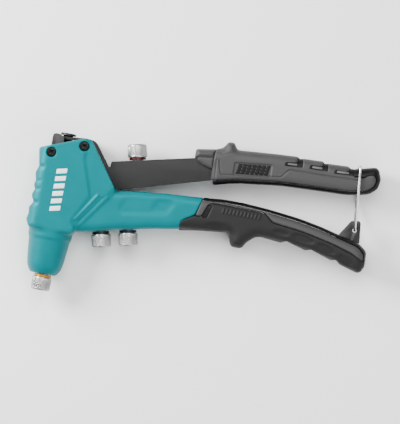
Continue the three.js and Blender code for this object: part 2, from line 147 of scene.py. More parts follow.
def corner_arc(before, corner, after):
    """Points round a corner [x, y, radius], tangent to both edges and never past their middles."""
    here = Vector(corner[:2])
    to_before = Vector(before[:2]) - here
    to_after = Vector(after[:2]) - here
    room = 0.49 * min(to_before.length, to_after.length)
    to_before.normalize()
    to_after.normalize()
    between = to_before.angle(to_after)
    length = min(corner[2] / math.tan(between / 2), room)
    radius = length * math.tan(between / 2)
    start = here + to_before * length
    centre = here + (to_before + to_after).normalized() * math.hypot(radius, length)
    turn = math.pi - between
    if to_before.cross(to_after) > 0:
        turn = -turn
    steps = max(1, math.ceil(abs(turn) / ARC_STEP))
    arm = start - centre
    return [centre + Matrix.Rotation(turn * i / steps, 2) @ arm for i in range(steps + 1)]


def outline(corners):
    """A closed outline from corners [x, y] or [x, y, radius]."""
    points = []
    for i, corner in enumerate(corners):
        if len(corner) == 3 and corner[2] > 0:
            points += corner_arc(corners[i - 1], corner, corners[(i + 1) % len(corners)])
        else:
            points.append(Vector(corner[:2]))
    return [p for i, p in enumerate(points) if (p - points[i - 1]).length > 0.01]


def outline_distance(points, xy):
    """How far each row of xy lies inside the outline; negative outside."""
    ring = np.array([tuple(p) for p in points])
    ahead = np.roll(ring, -1, axis=0)
    nearest = np.full(len(xy), np.inf)
    inside = np.zeros(len(xy), bool)
    for a, b in zip(ring, ahead):
        edge = b - a
        share = np.clip(((xy - a) @ edge) / (edge @ edge), 0, 1)
        nearest = np.minimum(nearest, np.hypot(*(xy - a - share[:, None] * edge).T))
        crosses = (a[1] > xy[:, 1]) != (b[1] > xy[:, 1])
        if a[1] != b[1]:
            reach = a[0] + (xy[:, 1] - a[1]) * edge[0] / edge[1]
            inside ^= crosses & (xy[:, 0] < reach)
    return np.where(inside, nearest, -nearest)


# ---------------------------------------------------------------- mesh building

def slab(corners, low, high):
    """A closed plate between two heights, as a bmesh."""
    bm = bmesh.new()
    face = bm.faces.new([bm.verts.new((p.x, p.y, low)) for p in outline(corners)])
    made = bmesh.ops.extrude_face_region(bm, geom=[face])
    lifted = [item for item in made["geom"] if isinstance(item, bmesh.types.BMVert)]
    bmesh.ops.translate(bm, verts=lifted, vec=(0, 0, high - low))
    bmesh.ops.recalc_face_normals(bm, faces=bm.faces[:])
    return bm


def centred_slab(corners, width):
    """A closed plate on the middle plane of the tool."""
    return slab(corners, MID - width / 2, MID + width / 2)


def revolved(profile, steps=96):
    """A solid of revolution about Y from a closed or axis-to-axis profile of (radius, along)."""
    bm = bmesh.new()
    verts = [bm.verts.new((radius, along, 0)) for radius, along in profile]
    edges = [bm.edges.new(pair) for pair in zip(verts, verts[1:])]
    if profile[0][0] > 0:
        edges.append(bm.edges.new((verts[-1], verts[0])))
    bmesh.ops.spin(bm, geom=verts + edges, cent=(0, 0, 0), axis=(0, 1, 0), dvec=(0, 0, 0),
                   angle=math.tau, steps=steps, use_merge=True)
    bmesh.ops.remove_doubles(bm, verts=bm.verts[:], dist=0.0005)
    bmesh.ops.recalc_face_normals(bm, faces=bm.faces[:])
    return bm


def turned(profile, steps=96):
    """A solid of revolution on the nose axis."""
    bm = revolved(profile, steps)
    bmesh.ops.translate(bm, verts=bm.verts[:], vec=(0, 0, MID))
    return bm


def cross_turned(profile, centre, steps=64):
    """A solid of revolution about an axis across the tool; profile heights run along +Z."""
    bm = revolved(profile, steps)
    place = Matrix.Translation((centre[0], centre[1], 0)) @ Matrix.Rotation(math.radians(90), 4, "X")
    bmesh.ops.transform(bm, matrix=place, verts=bm.verts[:])
    return bm


def cross_rod(centre, radius, low, high, steps=64):
    """A rod across the tool."""
    bm = bmesh.new()
    bmesh.ops.create_cone(bm, cap_ends=True, segments=steps, radius1=radius, radius2=radius, depth=high - low,
                          matrix=Matrix.Translation((centre[0], centre[1], (low + high) / 2)))
    return bm


def cuboid(low, high):
    """A box between two corners."""
    bm = bmesh.new()
    size = Vector(high) - Vector(low)
    centre = (Vector(high) + Vector(low)) / 2
    bmesh.ops.create_cube(bm, size=1.0, matrix=Matrix.Translation(centre) @ Matrix.Diagonal((*size, 1.0)))
    return bm


def at_seat(bm, seat):
    """Moves a bmesh from the fitted nosepiece's place to another seat."""
    (x, y), turn = SEATS[seat]
    place = (Matrix.Translation((x, y, 0)) @ Matrix.Rotation(math.radians(turn), 4, "Z")
             @ Matrix.Translation((0, -CASTING_FRONT, 0)))
    bmesh.ops.transform(bm, matrix=place, verts=bm.verts[:])
    return bm


def joined(*parts):
    """One bmesh from several, which are freed."""
    whole = bmesh.new()
    for part in parts:
        mesh = bpy.data.meshes.new("part")
        part.to_mesh(mesh)
        part.free()
        whole.from_mesh(mesh)
        bpy.data.meshes.remove(mesh)
    return whole


def new_object(name, bm):
    """An object from a bmesh, which is freed."""
    mesh = bpy.data.meshes.new(name)
    bm.to_mesh(mesh)
    bm.free()
    piece = bpy.data.objects.new(name, mesh)
    bpy.context.scene.collection.objects.link(piece)
    return piece


def merge_objects(name, *parts):
    """One object from several, whose meshes may overlap."""
    bm = bmesh.new()
    for part in parts:
        bm.from_mesh(part.data)
        mesh = part.data
        bpy.data.objects.remove(part)
        bpy.data.meshes.remove(mesh)
    return new_object(name, bm)


def bake_modifiers(piece):
    """Replaces a piece's mesh with the result of its modifiers."""
    graph = bpy.context.evaluated_depsgraph_get()
    mesh = bpy.data.meshes.new_from_object(piece.evaluated_get(graph))
    old = piece.data
    piece.modifiers.clear()
    piece.data = mesh
    mesh.name = piece.name
    bpy.data.meshes.remove(old)
    return piece


def combine(piece, tool, operation):
    """Cuts, joins or intersects a piece with a bmesh tool."""
    helper = new_object("tool", tool)
    modifier = piece.modifiers.new("combine", "BOOLEAN")
    modifier.object = helper
    modifier.operation = operation
    modifier.solver = "EXACT"
    bake_modifiers(piece)
    mesh = helper.data
    bpy.data.objects.remove(helper)
    bpy.data.meshes.remove(mesh)
    return piece


def cut(piece, *tools):
    """Cuts bmesh tools out of a piece, one after the other."""
    for tool in tools:
        combine(piece, tool, "DIFFERENCE")
    return piece


ROUGH_VOXEL = 0.8
COLLAR_VOXEL = 0.6
INLAY_VOXEL = 0.35


def even_mesh(piece, voxel, smoothing=0):
    """Gives a piece an even skin and takes the hardness off its edges."""
    remesh = piece.modifiers.new("skin", "REMESH")
    remesh.mode = "VOXEL"
    remesh.voxel_size = voxel
    if smoothing:
        soften = piece.modifiers.new("soften", "SMOOTH")
        soften.factor = 0.5
        soften.iterations = smoothing
    return bake_modifiers(piece)


def coordinates(piece):
    """A mesh's points and normals, one row each."""
    mesh = piece.data
    flat = np.empty(len(mesh.vertices) * 3)
    mesh.vertices.foreach_get("co", flat)
    normals = np.empty(len(mesh.vertices) * 3)
    mesh.vertices.foreach_get("normal", normals)
    return flat.reshape(-1, 3), normals.reshape(-1, 3)


def set_coordinates(piece, positions):
    """Puts changed points back into a piece's mesh."""
    piece.data.vertices.foreach_set("co", positions.ravel())
    piece.data.update()


CROWN_POWER = 2.2


def crown(piece, corners, rim, radius):
    """Rounds a plate's sides: its thickness falls to a share, rim, at the outline."""
    positions, _ = coordinates(piece)
    depth = np.clip(outline_distance(outline(corners), positions[:, :2]) / radius, 0, 1)
    share = rim + (1 - rim) * (1 - (1 - depth) ** CROWN_POWER) ** (1 / CROWN_POWER)
    positions[:, 2] = MID + (positions[:, 2] - MID) * share
    set_coordinates(piece, positions)
    return piece


def press_in(piece, corners, depth, edge=0.9, outer=8.0):
    """Presses both side faces in by depth inside an outline, or raises them where depth is negative."""
    positions, normals = coordinates(piece)
    inside = outline_distance(outline(corners), positions[:, :2])
    share = np.clip(inside / edge + 0.5, 0, 1)
    share = share * share * (3 - 2 * share)
    height = positions[:, 2] - MID
    facing = np.clip((normals[:, 2] * np.sign(height) - 0.2) / 0.3, 0, 1)
    facing[np.abs(height) < outer] = 0
    positions[:, 2] -= np.sign(height) * depth * share * facing
    set_coordinates(piece, positions)
    return piece


def line_distance(line, xy):
    """How far each point lies from an open line."""
    path = open_line(line)
    nearest = np.full(len(xy), np.inf)
    for a, b in zip(path, path[1:]):
        a, b = np.array(a), np.array(b)
        edge = b - a
        share = np.clip(((xy - a) @ edge) / (edge @ edge), 0, 1)
        nearest = np.minimum(nearest, np.hypot(*(xy - a - share[:, None] * edge).T))
    return nearest


def soften(piece, line, reach, rounds):
    """Smooths the surface within a distance of a line, which turns a step into a fillet."""
    bm = bmesh.new()
    bm.from_mesh(piece.data)
    bm.verts.ensure_lookup_table()
    positions, _ = coordinates(piece)
    near = line_distance(line, positions[:, :2]) < reach
    verts = [bm.verts[i] for i in np.flatnonzero(near)]
    for _ in range(rounds):
        bmesh.ops.smooth_vert(bm, verts=verts, factor=0.5, use_axis_x=True, use_axis_y=True, use_axis_z=True)
    bm.to_mesh(piece.data)
    bm.free()
    return piece


def groove(piece, line, width, depth, outer=8.0):
    """Presses a soft groove along an open line of [x, y] or [x, y, radius] corners."""
    positions, normals = coordinates(piece)
    height = positions[:, 2] - MID
    share = np.clip(1 - line_distance(line, positions[:, :2]) / (width / 2), 0, 1)
    share = share * share * (3 - 2 * share)
    facing = np.clip((normals[:, 2] * np.sign(height) - 0.1) / 0.3, 0, 1)
    facing[np.abs(height) < outer] = 0
    positions[:, 2] -= np.sign(height) * depth * share * facing
    set_coordinates(piece, positions)
    return piece


def open_line(corners):
    """Points along an open line of [x, y] or [x, y, radius] corners."""
    points = [Vector(corners[0][:2])]
    for before, corner, after in zip(corners, corners[1:], corners[2:]):
        if len(corner) == 3:
            points += corner_arc(before, corner, after)
        else:
            points.append(Vector(corner))
    return points + [Vector(corners[-1][:2])]


BEVEL_ANGLE = math.radians(35)


def rounded_edges(piece, width, segments=3):
    """Bevels the sharp edges of a made piece."""
    bevel = piece.modifiers.new("edges", "BEVEL")
    bevel.width = width
    bevel.segments = segments
    bevel.limit_method = "ANGLE"
    bevel.angle_limit = BEVEL_ANGLE
    return bake_modifiers(piece)


def finish_piece(piece, body, slot, material, *nodes, sharp=40):
    """Sets a piece in the frame, gives it its finish, hangs it on its body's empty and hides the parts it
    stands for.
    """
    piece.data.transform(TO_FRAME)
    piece.data.materials.clear()
    piece.data.materials.append(material)
    piece.data.shade_smooth()
    if sharp:
        piece.data.set_sharp_from_angle(angle=math.radians(sharp))
    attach(piece, body)
    if nodes:
        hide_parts(*nodes)
    return piece


# ---------------------------------------------------------------- finishes

def linear(colour):
    """A display colour as the renderer's linear light."""
    return [c / 12.92 if c <= 0.04045 else ((c + 0.055) / 1.055) ** 2.4 for c in colour]


def new_group(name, inputs, outputs):
    """An empty shader group with float inputs {name: default} and float outputs."""
    tree = bpy.data.node_groups.new(name, "ShaderNodeTree")
    for label, value in inputs.items():
        socket = tree.interface.new_socket(name=label, in_out="INPUT", socket_type="NodeSocketFloat")
        socket.default_value = value
    for label in outputs:
        tree.interface.new_socket(name=label, in_out="OUTPUT", socket_type="NodeSocketFloat")
    return tree, tree.nodes.new("NodeGroupInput"), tree.nodes.new("NodeGroupOutput")


def maths(tree, operation, first, second, clamp=False):
    """One Math node on numbers or sockets."""
    node = tree.nodes.new("ShaderNodeMath")
    node.operation = operation
    node.use_clamp = clamp
    for socket, value in zip(node.inputs, (first, second)):
        if isinstance(value, (int, float)):
            socket.default_value = value
        else:
            tree.links.new(value, socket)
    return node.outputs[0]


def noise(tree, scale, detail, roughness=0.5, coordinates_from=None):
    """A noise texture on Object coordinates; scale is a number or a socket."""
    node = tree.nodes.new("ShaderNodeTexNoise")
    node.inputs["Detail"].default_value = detail
    node.inputs["Roughness"].default_value = roughness
    if coordinates_from is None:
        coordinates_from = tree.nodes.new("ShaderNodeTexCoord").outputs["Object"]
    tree.links.new(coordinates_from, node.inputs["Vector"])
    if isinstance(scale, (int, float)):
        node.inputs["Scale"].default_value = scale
    else:
        tree.links.new(scale, node.inputs["Scale"])
    return node.outputs["Fac"]


def ramp(tree, value, low, high):
    """0 below low, 1 above high, smooth between."""
    node = tree.nodes.new("ShaderNodeMapRange")
    node.interpolation_type = "SMOOTHSTEP"
    tree.links.new(value, node.inputs["Value"])
    node.inputs["From Min"].default_value = low
    node.inputs["From Max"].default_value = high
    return node.outputs["Result"]


def grain_group():
    """Fine relief and slow tone changes of a moulded or coated skin."""
    tree, given, result = new_group("grain", {"Scale": 2000.0, "Patch Scale": 60.0}, ("Height", "Tone"))
    fine = noise(tree, given.outputs["Scale"], 3.0, 0.6)
    tree.links.new(fine, result.inputs["Height"])
    patches = noise(tree, given.outputs["Patch Scale"], 4.0, 0.55)
    tree.links.new(ramp(tree, patches, 0.3, 0.7), result.inputs["Tone"])
    return tree


def edge_wear_group():
    """Where raised edges rub bare, broken up by noise."""
    tree, given, result = new_group("edge wear", {"Amount": 0.5, "Scale": 400.0}, ("Mask",))
    geometry = tree.nodes.new("ShaderNodeNewGeometry")
    raised = ramp(tree, geometry.outputs["Pointiness"], 0.515, 0.60)
    broken = ramp(tree, noise(tree, given.outputs["Scale"], 5.0, 0.65), 0.42, 0.62)
    both = maths(tree, "MULTIPLY", raised, broken)
    worn = maths(tree, "MULTIPLY", both, given.outputs["Amount"], clamp=True)
    tree.links.new(worn, result.inputs["Mask"])
    return tree


def scuff_group():
    """Faint long scratches and rubbed spots that change the gloss."""
    tree, given, result = new_group("scuffs", {"Amount": 0.3, "Scale": 120.0}, ("Mask", "Height"))
    coordinate = tree.nodes.new("ShaderNodeTexCoord").outputs["Object"]
    stretch = tree.nodes.new("ShaderNodeMapping")
    stretch.inputs["Rotation"].default_value = (0.0, 0.0, 0.5)
    stretch.inputs["Scale"].default_value = (1.0, 14.0, 3.0)
    tree.links.new(coordinate, stretch.inputs["Vector"])
    lines = noise(tree, given.outputs["Scale"], 6.0, 0.7, stretch.outputs["Vector"])
    thin = ramp(tree, lines, 0.62, 0.72)
    tree.links.new(maths(tree, "MULTIPLY", thin, given.outputs["Amount"]), result.inputs["Mask"])
    tree.links.new(thin, result.inputs["Height"])
    return tree


def groups():
    """The shared effects, built once."""
    made = {"grain": grain_group, "edge wear": edge_wear_group, "scuffs": scuff_group}
    return {name: bpy.data.node_groups.get(name) or build() for name, build in made.items()}


def place_group(tree, name, **values):
    """Places a shared effect with its own values."""
    node = tree.nodes.new("ShaderNodeGroup")
    node.node_tree = groups()[name]
    for label, value in values.items():
        node.inputs[label.replace("_", " ")].default_value = value
    return node


def mixed_colour(tree, share, first, second):
    """A colour between two; each is a list or a socket."""
    node = tree.nodes.new("ShaderNodeMix")
    node.data_type = "RGBA"
    tree.links.new(share, node.inputs["Factor"])
    for socket, value in ((node.inputs[6], first), (node.inputs[7], second)):
        if isinstance(value, list):
            socket.default_value = (*value, 1.0)
        else:
            tree.links.new(value, socket)
    return node.outputs[2]


PATCH_SCALE = 55.0
WEAR_SCALE = 450.0
ROUGHNESS_CHANGE = 0.12


def finish(name, colour, roughness, metallic=0.0, sheen=0.0, specular=0.5, grain=2000.0, relief=0.00002,
           tint=(1.0, 1.0, 1.0), tone=0.10, wear=0.0, bare=(0.55, 0.56, 0.57), scuffs=0.15,
           scuff_scale=120.0):
    """One finish: base colour with slow tone changes, fine relief, rubbed edges and scuffs."""
    made = bpy.data.materials.new(name)
    made.use_nodes = True
    tree = made.node_tree
    shader = tree.nodes["Principled BSDF"]
    base = linear(colour)
    skin = place_group(tree, "grain", Scale=grain, Patch_Scale=PATCH_SCALE)
    rubbed = place_group(tree, "edge wear", Amount=wear, Scale=WEAR_SCALE)
    marks = place_group(tree, "scuffs", Amount=scuffs, Scale=scuff_scale)
    dark = [c * (1 - tone) for c in base]
    light = [min(1.0, c * (1 + tone)) for c in base]
    toned = mixed_colour(tree, skin.outputs["Tone"], dark, light)
    scuffed = mixed_colour(tree, marks.outputs["Mask"], toned, [min(1.0, c * 1.35 + 0.01) for c in base])
    worn = mixed_colour(tree, rubbed.outputs["Mask"], scuffed, linear(bare))
    tree.links.new(worn, shader.inputs["Base Color"])
    change = maths(tree, "MULTIPLY", skin.outputs["Tone"], ROUGHNESS_CHANGE)
    base_roughness = maths(tree, "ADD", change, roughness - ROUGHNESS_CHANGE / 2)
    marked = maths(tree, "MULTIPLY", marks.outputs["Mask"], 0.35)
    tree.links.new(maths(tree, "ADD", base_roughness, marked, clamp=True), shader.inputs["Roughness"])
    if wear and metallic < 0.5:
        metal = maths(tree, "MULTIPLY", rubbed.outputs["Mask"], 0.9)
        tree.links.new(maths(tree, "ADD", metal, metallic), shader.inputs["Metallic"])
    else:
        shader.inputs["Metallic"].default_value = metallic
    shader.inputs["Sheen Weight"].default_value = sheen
    shader.inputs["Specular IOR Level"].default_value = specular
    shader.inputs["Specular Tint"].default_value = (*tint, 1.0)
    bump = tree.nodes.new("ShaderNodeBump")
    bump.inputs["Distance"].default_value = relief
    scratches = maths(tree, "MULTIPLY", marks.outputs["Height"], 0.4)
    relief_height = maths(tree, "SUBTRACT", skin.outputs["Height"], scratches)
    tree.links.new(relief_height, bump.inputs["Height"])
    tree.links.new(bump.outputs["Normal"], shader.inputs["Normal"])
    return made


# A colour is one of the settings by name, or a display colour.
FINISHES = {
    "powder_coat": dict(colour="casting", roughness=0.42, specular=0.5, tint=(0.05, 0.80, 0.85),
                        grain=700.0, relief=0.00006, tone=0.05, wear=0.12, scuffs=0.08,
                        bare=(0.55, 0.62, 0.63)),
    "lever_coat": dict(colour="lever", roughness=0.5, metallic=0.1, specular=0.25, grain=3200.0,
                       relief=0.00004, tone=0.08, scuffs=0.2),
    "hard_grip": dict(colour="grip", roughness=0.5, specular=0.28, grain=3600.0, relief=0.00005,
                      tone=0.05, scuffs=0.08),
    "soft_grip": dict(colour="soft", roughness=0.62, specular=0.22, sheen=0.02, grain=2400.0,
                      relief=0.00008, tone=0.08, scuffs=0.08),
    "pale_tab": dict(colour=(0.30, 0.30, 0.303), roughness=0.4, specular=0.35, grain=3600.0,
                     relief=0.00002, tone=0.05, scuffs=0.08),
    "edge_strip": dict(colour="edge", roughness=0.45, specular=0.16, grain=2600.0, relief=0.00006,
                       tone=0.10, scuffs=0.08),
    "plated_steel": dict(colour=(0.66, 0.66, 0.655), roughness=0.30, metallic=1.0, grain=1500.0,
                         relief=0.00001, tone=0.10, scuffs=0.2, scuff_scale=260.0),
    "zinc_steel": dict(colour=(0.215, 0.215, 0.218), roughness=0.38, metallic=1.0, grain=1200.0,
                       relief=0.000015, tone=0.16, scuffs=0.3, scuff_scale=200.0),
    "wire_steel": dict(colour=(0.86, 0.86, 0.86), roughness=0.22, metallic=1.0, grain=1500.0,
                       relief=0.00001, tone=0.08, scuffs=0.3, scuff_scale=300.0),
    "black_steel": dict(colour=(0.02, 0.02, 0.021), roughness=0.36, metallic=0.3, specular=0.25,
                        grain=2500.0, relief=0.000012, tone=0.15, scuffs=0.2),
    "nut_steel": dict(colour=(0.17, 0.17, 0.172), roughness=0.40, metallic=1.0, grain=1200.0,
                      relief=0.000015, tone=0.14, scuffs=0.3, scuff_scale=200.0),
    "painted_bars": dict(colour="mark", roughness=0.42, grain=1800.0, relief=0.00002, tone=0.03,
                         scuffs=0.15),
}
RING_COLOURS = {"gold": (0.62, 0.42, 0.05), "green": (0.01, 0.10, 0.05), "blue": (0.03, 0.07, 0.18),
                "red": (0.22, 0.03, 0.035)}
for ring, ring_colour in RING_COLOURS.items():
    FINISHES[f"ring_{ring}"] = dict(colour=ring_colour, roughness=0.36, metallic=0.35, grain=1800.0,
                                    relief=0.00001, tone=0.08)
made_finishes = {}


def material(name):
    """A finish by its name in the table, made on first use."""
    if name not in made_finishes:
        values = dict(FINISHES[name])
        colour = values.pop("colour")
        if isinstance(colour, str):
            colour = getattr(colours(), colour)
        made_finishes[name] = finish(name, colour, **values)
    return made_finishes[name]


# ---------------------------------------------------------------- casting

BOLT_HEAD = 3.45
BOLT_SEAT = 3.7
HEAD_SIDE = [[-16.8, 45.6, 1.5], [-20.0, 51.4, 2.0], [-18.6, 56.0, 3], [-19.5, 60.5, 3],
             [-16.3, 64.8, 2], [-19.2, 69.8, 3], [-17.0, 74.8, 1.2], [-18.9, 77.5, 2.5],
             [-17.6, 81.0, 3], [-19.3, 86.8, 4], [-17.2, 91.9, 3], [-19.9, 106.0, 2],
             [17.1, 120.3, 6.5], [43.2, 84.2, 1], [38.5, 79.5], [18.5, 54.5, 6], [17, 46]]
HEAD_SECTION = [[-20, 0, 9.5], [50, 0, 1.8], [50, 32, 1.8], [-20, 32, 9.5]]
ARM_SIDE = [[8, 46.9], [21.9, 48.4, 20], [48.7, 55.2, 40], [73.9, 60.6, 60], [94.9, 64.2],
            [95.6, 70.8, 3], [105.2, 77.1, 4], [109.3, 91.0], [80.9, 89.1, 60], [46.7, 85.1],
            [42, 84.6], [30, 92], [8, 92]]
BARREL = [(0, CASTING_FRONT), (8.6, CASTING_FRONT), (9.9, 12.8), (11.2, 14.2), (12.6, 16.6),
          (13.5, 19.4), (14.1, 23.5), (14.8, 30), (15.6, 38.6), (15.8, 39.4), (16.5, 40.4),
          (16.8, 46.0), (17.1, 50.5), (17.1, 58), (0, 58)]
BARREL_FLATNESS = 0.93
LOWERED_SIDE = [[17.0, 130], [15.4, 104, 8], [24.8, 76.4, 1.5], [14.6, 55.5, 3], [22.0, 40], [70, 40],
                [70, 92], [34, 130]]
ARM_CROWN = [[8, 46.9], [21.9, 48.4, 20], [48.7, 55.2, 40], [73.9, 60.6, 60], [94.2, 64.1], [130, 66.5],
             [130, 92.8], [80.9, 89.1, 60], [46.7, 85.1], [42, 84.6], [30, 92], [8, 92]]
ARM_PANEL = [[45.5, 67.0, 5], [51.5, 80.6, 5], [90.8, 86.0, 3], [84.2, 73.4, 3]]
ARM_HOLLOW = [[75.9, 83.4, 3], [69.5, 72.6, 3], [83.0, 74.2, 3], [90.2, 85.0, 3]]
STEP_FOOT = [[19.5, 52.5], [38.8, 78.2], [43.5, 84.0]]
HEAD_FOOT = [[-14, 45.6], [21, 46.6]]
FINGER_GROOVES = ((64.7, 5.5, 0.75), (75.0, 4.0, 0.55), (81.3, 4.0, 0.35), (91.9, 5.5, 0.7))


def head_blank():
    """The head between its outline from the side and its rounded section across."""
    head = new_object("head", centred_slab(HEAD_SIDE, HEAD_WIDTH))
    tunnel = slab([[x, z - MID, *radius] for x, z, *radius in HEAD_SECTION], 0, 100)
    place = Matrix.Translation((0, 130, MID)) @ Matrix.Rotation(math.radians(90), 4, "X")
    bmesh.ops.transform(tunnel, matrix=place, verts=tunnel.verts[:])
    return combine(head, tunnel, "INTERSECT")


def arm_blank():
    """The crowned arm."""
    arm = new_object("arm", centred_slab(ARM_SIDE, ARM_WIDTH))
    even_mesh(arm, 0.9)
    return crown(arm, ARM_CROWN, rim=0.62, radius=6.5)


def barrel_blank():
    """The barrel, a little flatter than round."""
    barrel = turned(BARREL, 128)
    flatten = (Matrix.Translation((0, 0, MID)) @ Matrix.Diagonal((1, 1, BARREL_FLATNESS, 1))
               @ Matrix.Translation((0, 0, -MID)))
    bmesh.ops.transform(barrel, matrix=flatten, verts=barrel.verts[:])
    return new_object("barrel", barrel)


def casting_cutters():
    """Everything cut out of the casting: slot, bolt seats, nose bore, draw-tube hole and spare sockets."""
    slot = centred_slab([[-14.6, SLOT_FLOOR, 3], [45, SLOT_FLOOR, 1], [52, 125], [-14.6, 125]], SLOT_WIDTH)
    nose_bore = turned([(0, 0), (7.8, 0), (7.8, 24), (0, 24)])
    tube_hole = turned([(0, 66), (5, 66), (5, 86), (0, 86)])
    tools = [slot, nose_bore, tube_hole]
    for centre in (PIVOT, GUIDE_BOLT):
        tools.append(cross_rod(centre, BOLT_SEAT, -1, 2.9))
        tools.append(cross_rod(centre, BOLT_SEAT, HEAD_WIDTH - 2.9, HEAD_WIDTH + 1))
    for seat in ("arm_front", "arm_rear"):
        socket = turned([(0, CASTING_FRONT - 6), (4.3, CASTING_FRONT - 6), (4.3, 27), (0, 27)])
        tools.append(at_seat(socket, seat))
    return tools


def build_casting():
    voxel = sizes().casting_voxel / MM
    casting = merge_objects("casting_shell", head_blank(), arm_blank(), barrel_blank())
    even_mesh(casting, voxel, 2)
    press_in(casting, LOWERED_SIDE, 1.0, edge=4.0, outer=14.2)
    for y, width, depth in FINGER_GROOVES:
        groove(casting, [[-24, y - 0.6], [-14.5, y]], width, depth, outer=4)
    cut(casting, *casting_cutters())
    even_mesh(casting, voxel, 4)
    soften(casting, STEP_FOOT, 3.2, 40)
    soften(casting, HEAD_FOOT, 3.0, 25)
    groove(casting, [[16.9, 57.6], [30.6, 78.3]], 3.8, -0.85, outer=11)
    groove(casting, [[19.8, 56.4], [34.4, 77.2]], 2.2, 0.45, outer=11)
    groove(casting, [[20.6, 53.6], [37.8, 77.6]], 3.6, -0.55, outer=11)
    press_in(casting, ARM_PANEL, 0.45, edge=4.5, outer=11)
    press_in(casting, ARM_HOLLOW, 0.5, edge=5.0, outer=11)
    finish_piece(casting, "frame_body", "casting_paint", material("powder_coat"), "body_casting", sharp=0)


BAR_COUNT = 6
BAR_PITCH = 5.7
BAR_RISE = 0.12


def build_head_bars():
    """Painted slanted bars on both flat sides of the head."""
    bars = []
    for i in range(BAR_COUNT):
        y = 60.2 + i * BAR_PITCH
        side = [[-3.4, y, 0.3], [4.4, y + 1.8, 0.3], [4.4, y + 5.3, 0.3], [-3.4, y + 3.5, 0.3]]
        bars.append(slab(side, HEAD_WIDTH - 1.0, HEAD_WIDTH + BAR_RISE))
        bars.append(slab(side, -BAR_RISE, 1.0))
    piece = rounded_edges(new_object("head_bars", joined(*bars)), 0.05, 2)
    finish_piece(piece, "frame_body", "casting_paint", material("painted_bars"))


# ---------------------------------------------------------------- bolts, bracket and draw tube

def bolt_end(centre, outward):
    """A countersunk-edge head with a cross recess, whose face points up or down."""
    profile = [(0, 0), (3.0, 0), (3.0, 0.4), (BOLT_HEAD, 0.7), (BOLT_HEAD, 1.9), (3.25, 2.28),
               (2.0, 2.42), (0, 2.45)]
    bm = cross_turned(profile, centre)
    head = new_object("bolt_end", bm)
    recess = []
    for turn in (45, 135):
        arm = cuboid((-2.2, -0.48, 1.15), (2.2, 0.48, 3.5))
        place = Matrix.Translation((centre[0], centre[1], 0)) @ Matrix.Rotation(math.radians(turn), 4, "Z")
        bmesh.ops.transform(arm, matrix=place, verts=arm.verts[:])
        recess.append(arm)
    point = cross_turned([(0, 0.7), (0.5, 0.7), (1.0, 1.6), (1.25, 3.5), (0, 3.5)], centre, 24)
    cut(head, *recess, point)
    rounded_edges(head, 0.07, 2)
    if outward > 0:
        head.data.transform(Matrix.Translation((0, 0, HEAD_WIDTH - 2.75)))
    else:
        flip = Matrix.Translation((2 * centre[0], 0, 2.75)) @ Matrix.Rotation(math.pi, 4, "Y")
        head.data.transform(flip)
    return head


def build_bolts():
    for name, centre, shank, barrel in (("pivot", PIVOT, 1.6, 3.0), ("guide", GUIDE_BOLT, 1.2, 2.2)):
        screw = merge_objects(f"{name}_screw_visual", bolt_end(centre, 1),
                              new_object("shank", cross_rod(centre, shank, 8, HEAD_WIDTH - 2.6)))
        nut = merge_objects(f"{name}_nut_visual", bolt_end(centre, -1),
                            new_object("barrel", cross_rod(centre, barrel, 2.6, 26)))
        finish_piece(screw, "frame_body", "black_oxide", material("black_steel"), f"{name}_screw")
        finish_piece(nut, "frame_body", "black_oxide", material("black_steel"), f"{name}_barrel_nut")


def build_guide_bracket():
    """A folded sheet bracket between the cheeks, open towards the lever."""
    leg = [[-14.2, 98.5, 2], [-14.2, 107, 1], [-11.2, 109.2, 0.8], [-11.2, 118.8, 2.6], [-6.4, 118.8, 0.6],
           [-2.4, 116.9, 2.0], [-2.4, 98.5, 2]]
    inside = [[-16, 96], [-16, 106], [-9.7, 108, 0.5], [-9.7, 117.3, 1.2], [-6.9, 117.3, 0.3], [-5.6, 120],
              [0, 120], [0, 96]]
    width = SLOT_WIDTH - 2 * GAP
    bracket = new_object("guide_bracket_visual", centred_slab(leg, width))
    cut(bracket, centred_slab(inside, width - 3.2), cross_rod(GUIDE_BOLT, 2.5, 0, HEAD_WIDTH))
    rounded_edges(bracket, 0.35, 3)
    finish_piece(bracket, "frame_body", "zinc_steel", material("zinc_steel"), "guide_bracket")


def build_draw_tube():
    tube_low = (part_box("draw_tube")[0].y - NOSE_FACE_Y) / MM
    tube = new_object("draw_tube_visual", turned([
        (2.6, tube_low), (3.6, tube_low), (3.8, tube_low + 0.3), (3.8, 119.8), (3.55, 120.1), (2.9, 120.1),
        (2.6, 119.8)], 64))
    finish_piece(tube, "draw_bar", "black_oxide", material("black_steel"), "draw_tube")
    nut = new_object("flange_nut_visual", turned([
        (4.1, FLANGE_FACE), (5.5, FLANGE_FACE), (5.85, FLANGE_FACE + 0.3), (5.85, FLANGE_FACE + 1.3),
        (5.65, FLANGE_FACE + 1.75), (5.1, FLANGE_FACE + 2.0), (4.4, FLANGE_FACE + 2.0),
        (4.1, FLANGE_FACE + 1.8)], 72))
    finish_piece(nut, "draw_bar", "black_oxide", material("nut_steel"), "flange_nut")


# ---------------------------------------------------------------- nosepieces

KNURL_FROM, KNURL_TO = 1.3, 9.0
KNURL_ROWS = 40


def knurled(bm, count, depth):
    """Raises diamond points on the band of a turned nosepiece."""
    pitch = math.tau * 7.3 / count
    for vert in bm.verts:
        x, along, z = vert.co.x, vert.co.y, vert.co.z - MID
        radius = math.hypot(x, z)
        if not (KNURL_FROM <= along <= KNURL_TO and radius > 6.5):
            continue
        turn = math.atan2(z, x) / math.tau * count
        climb = along / pitch
        ridges = [abs(2 * ((turn + sign * climb) % 1.0) - 1) for sign in (1, -1)]
        fade = min(1.0, (along - KNURL_FROM) / 0.4, (KNURL_TO - along) / 0.4)
        grow = 1 + depth * (min(ridges) * 2 - 1) * max(0.0, fade) / radius
        vert.co.x = x * grow
        vert.co.z = MID + z * grow
    return bm


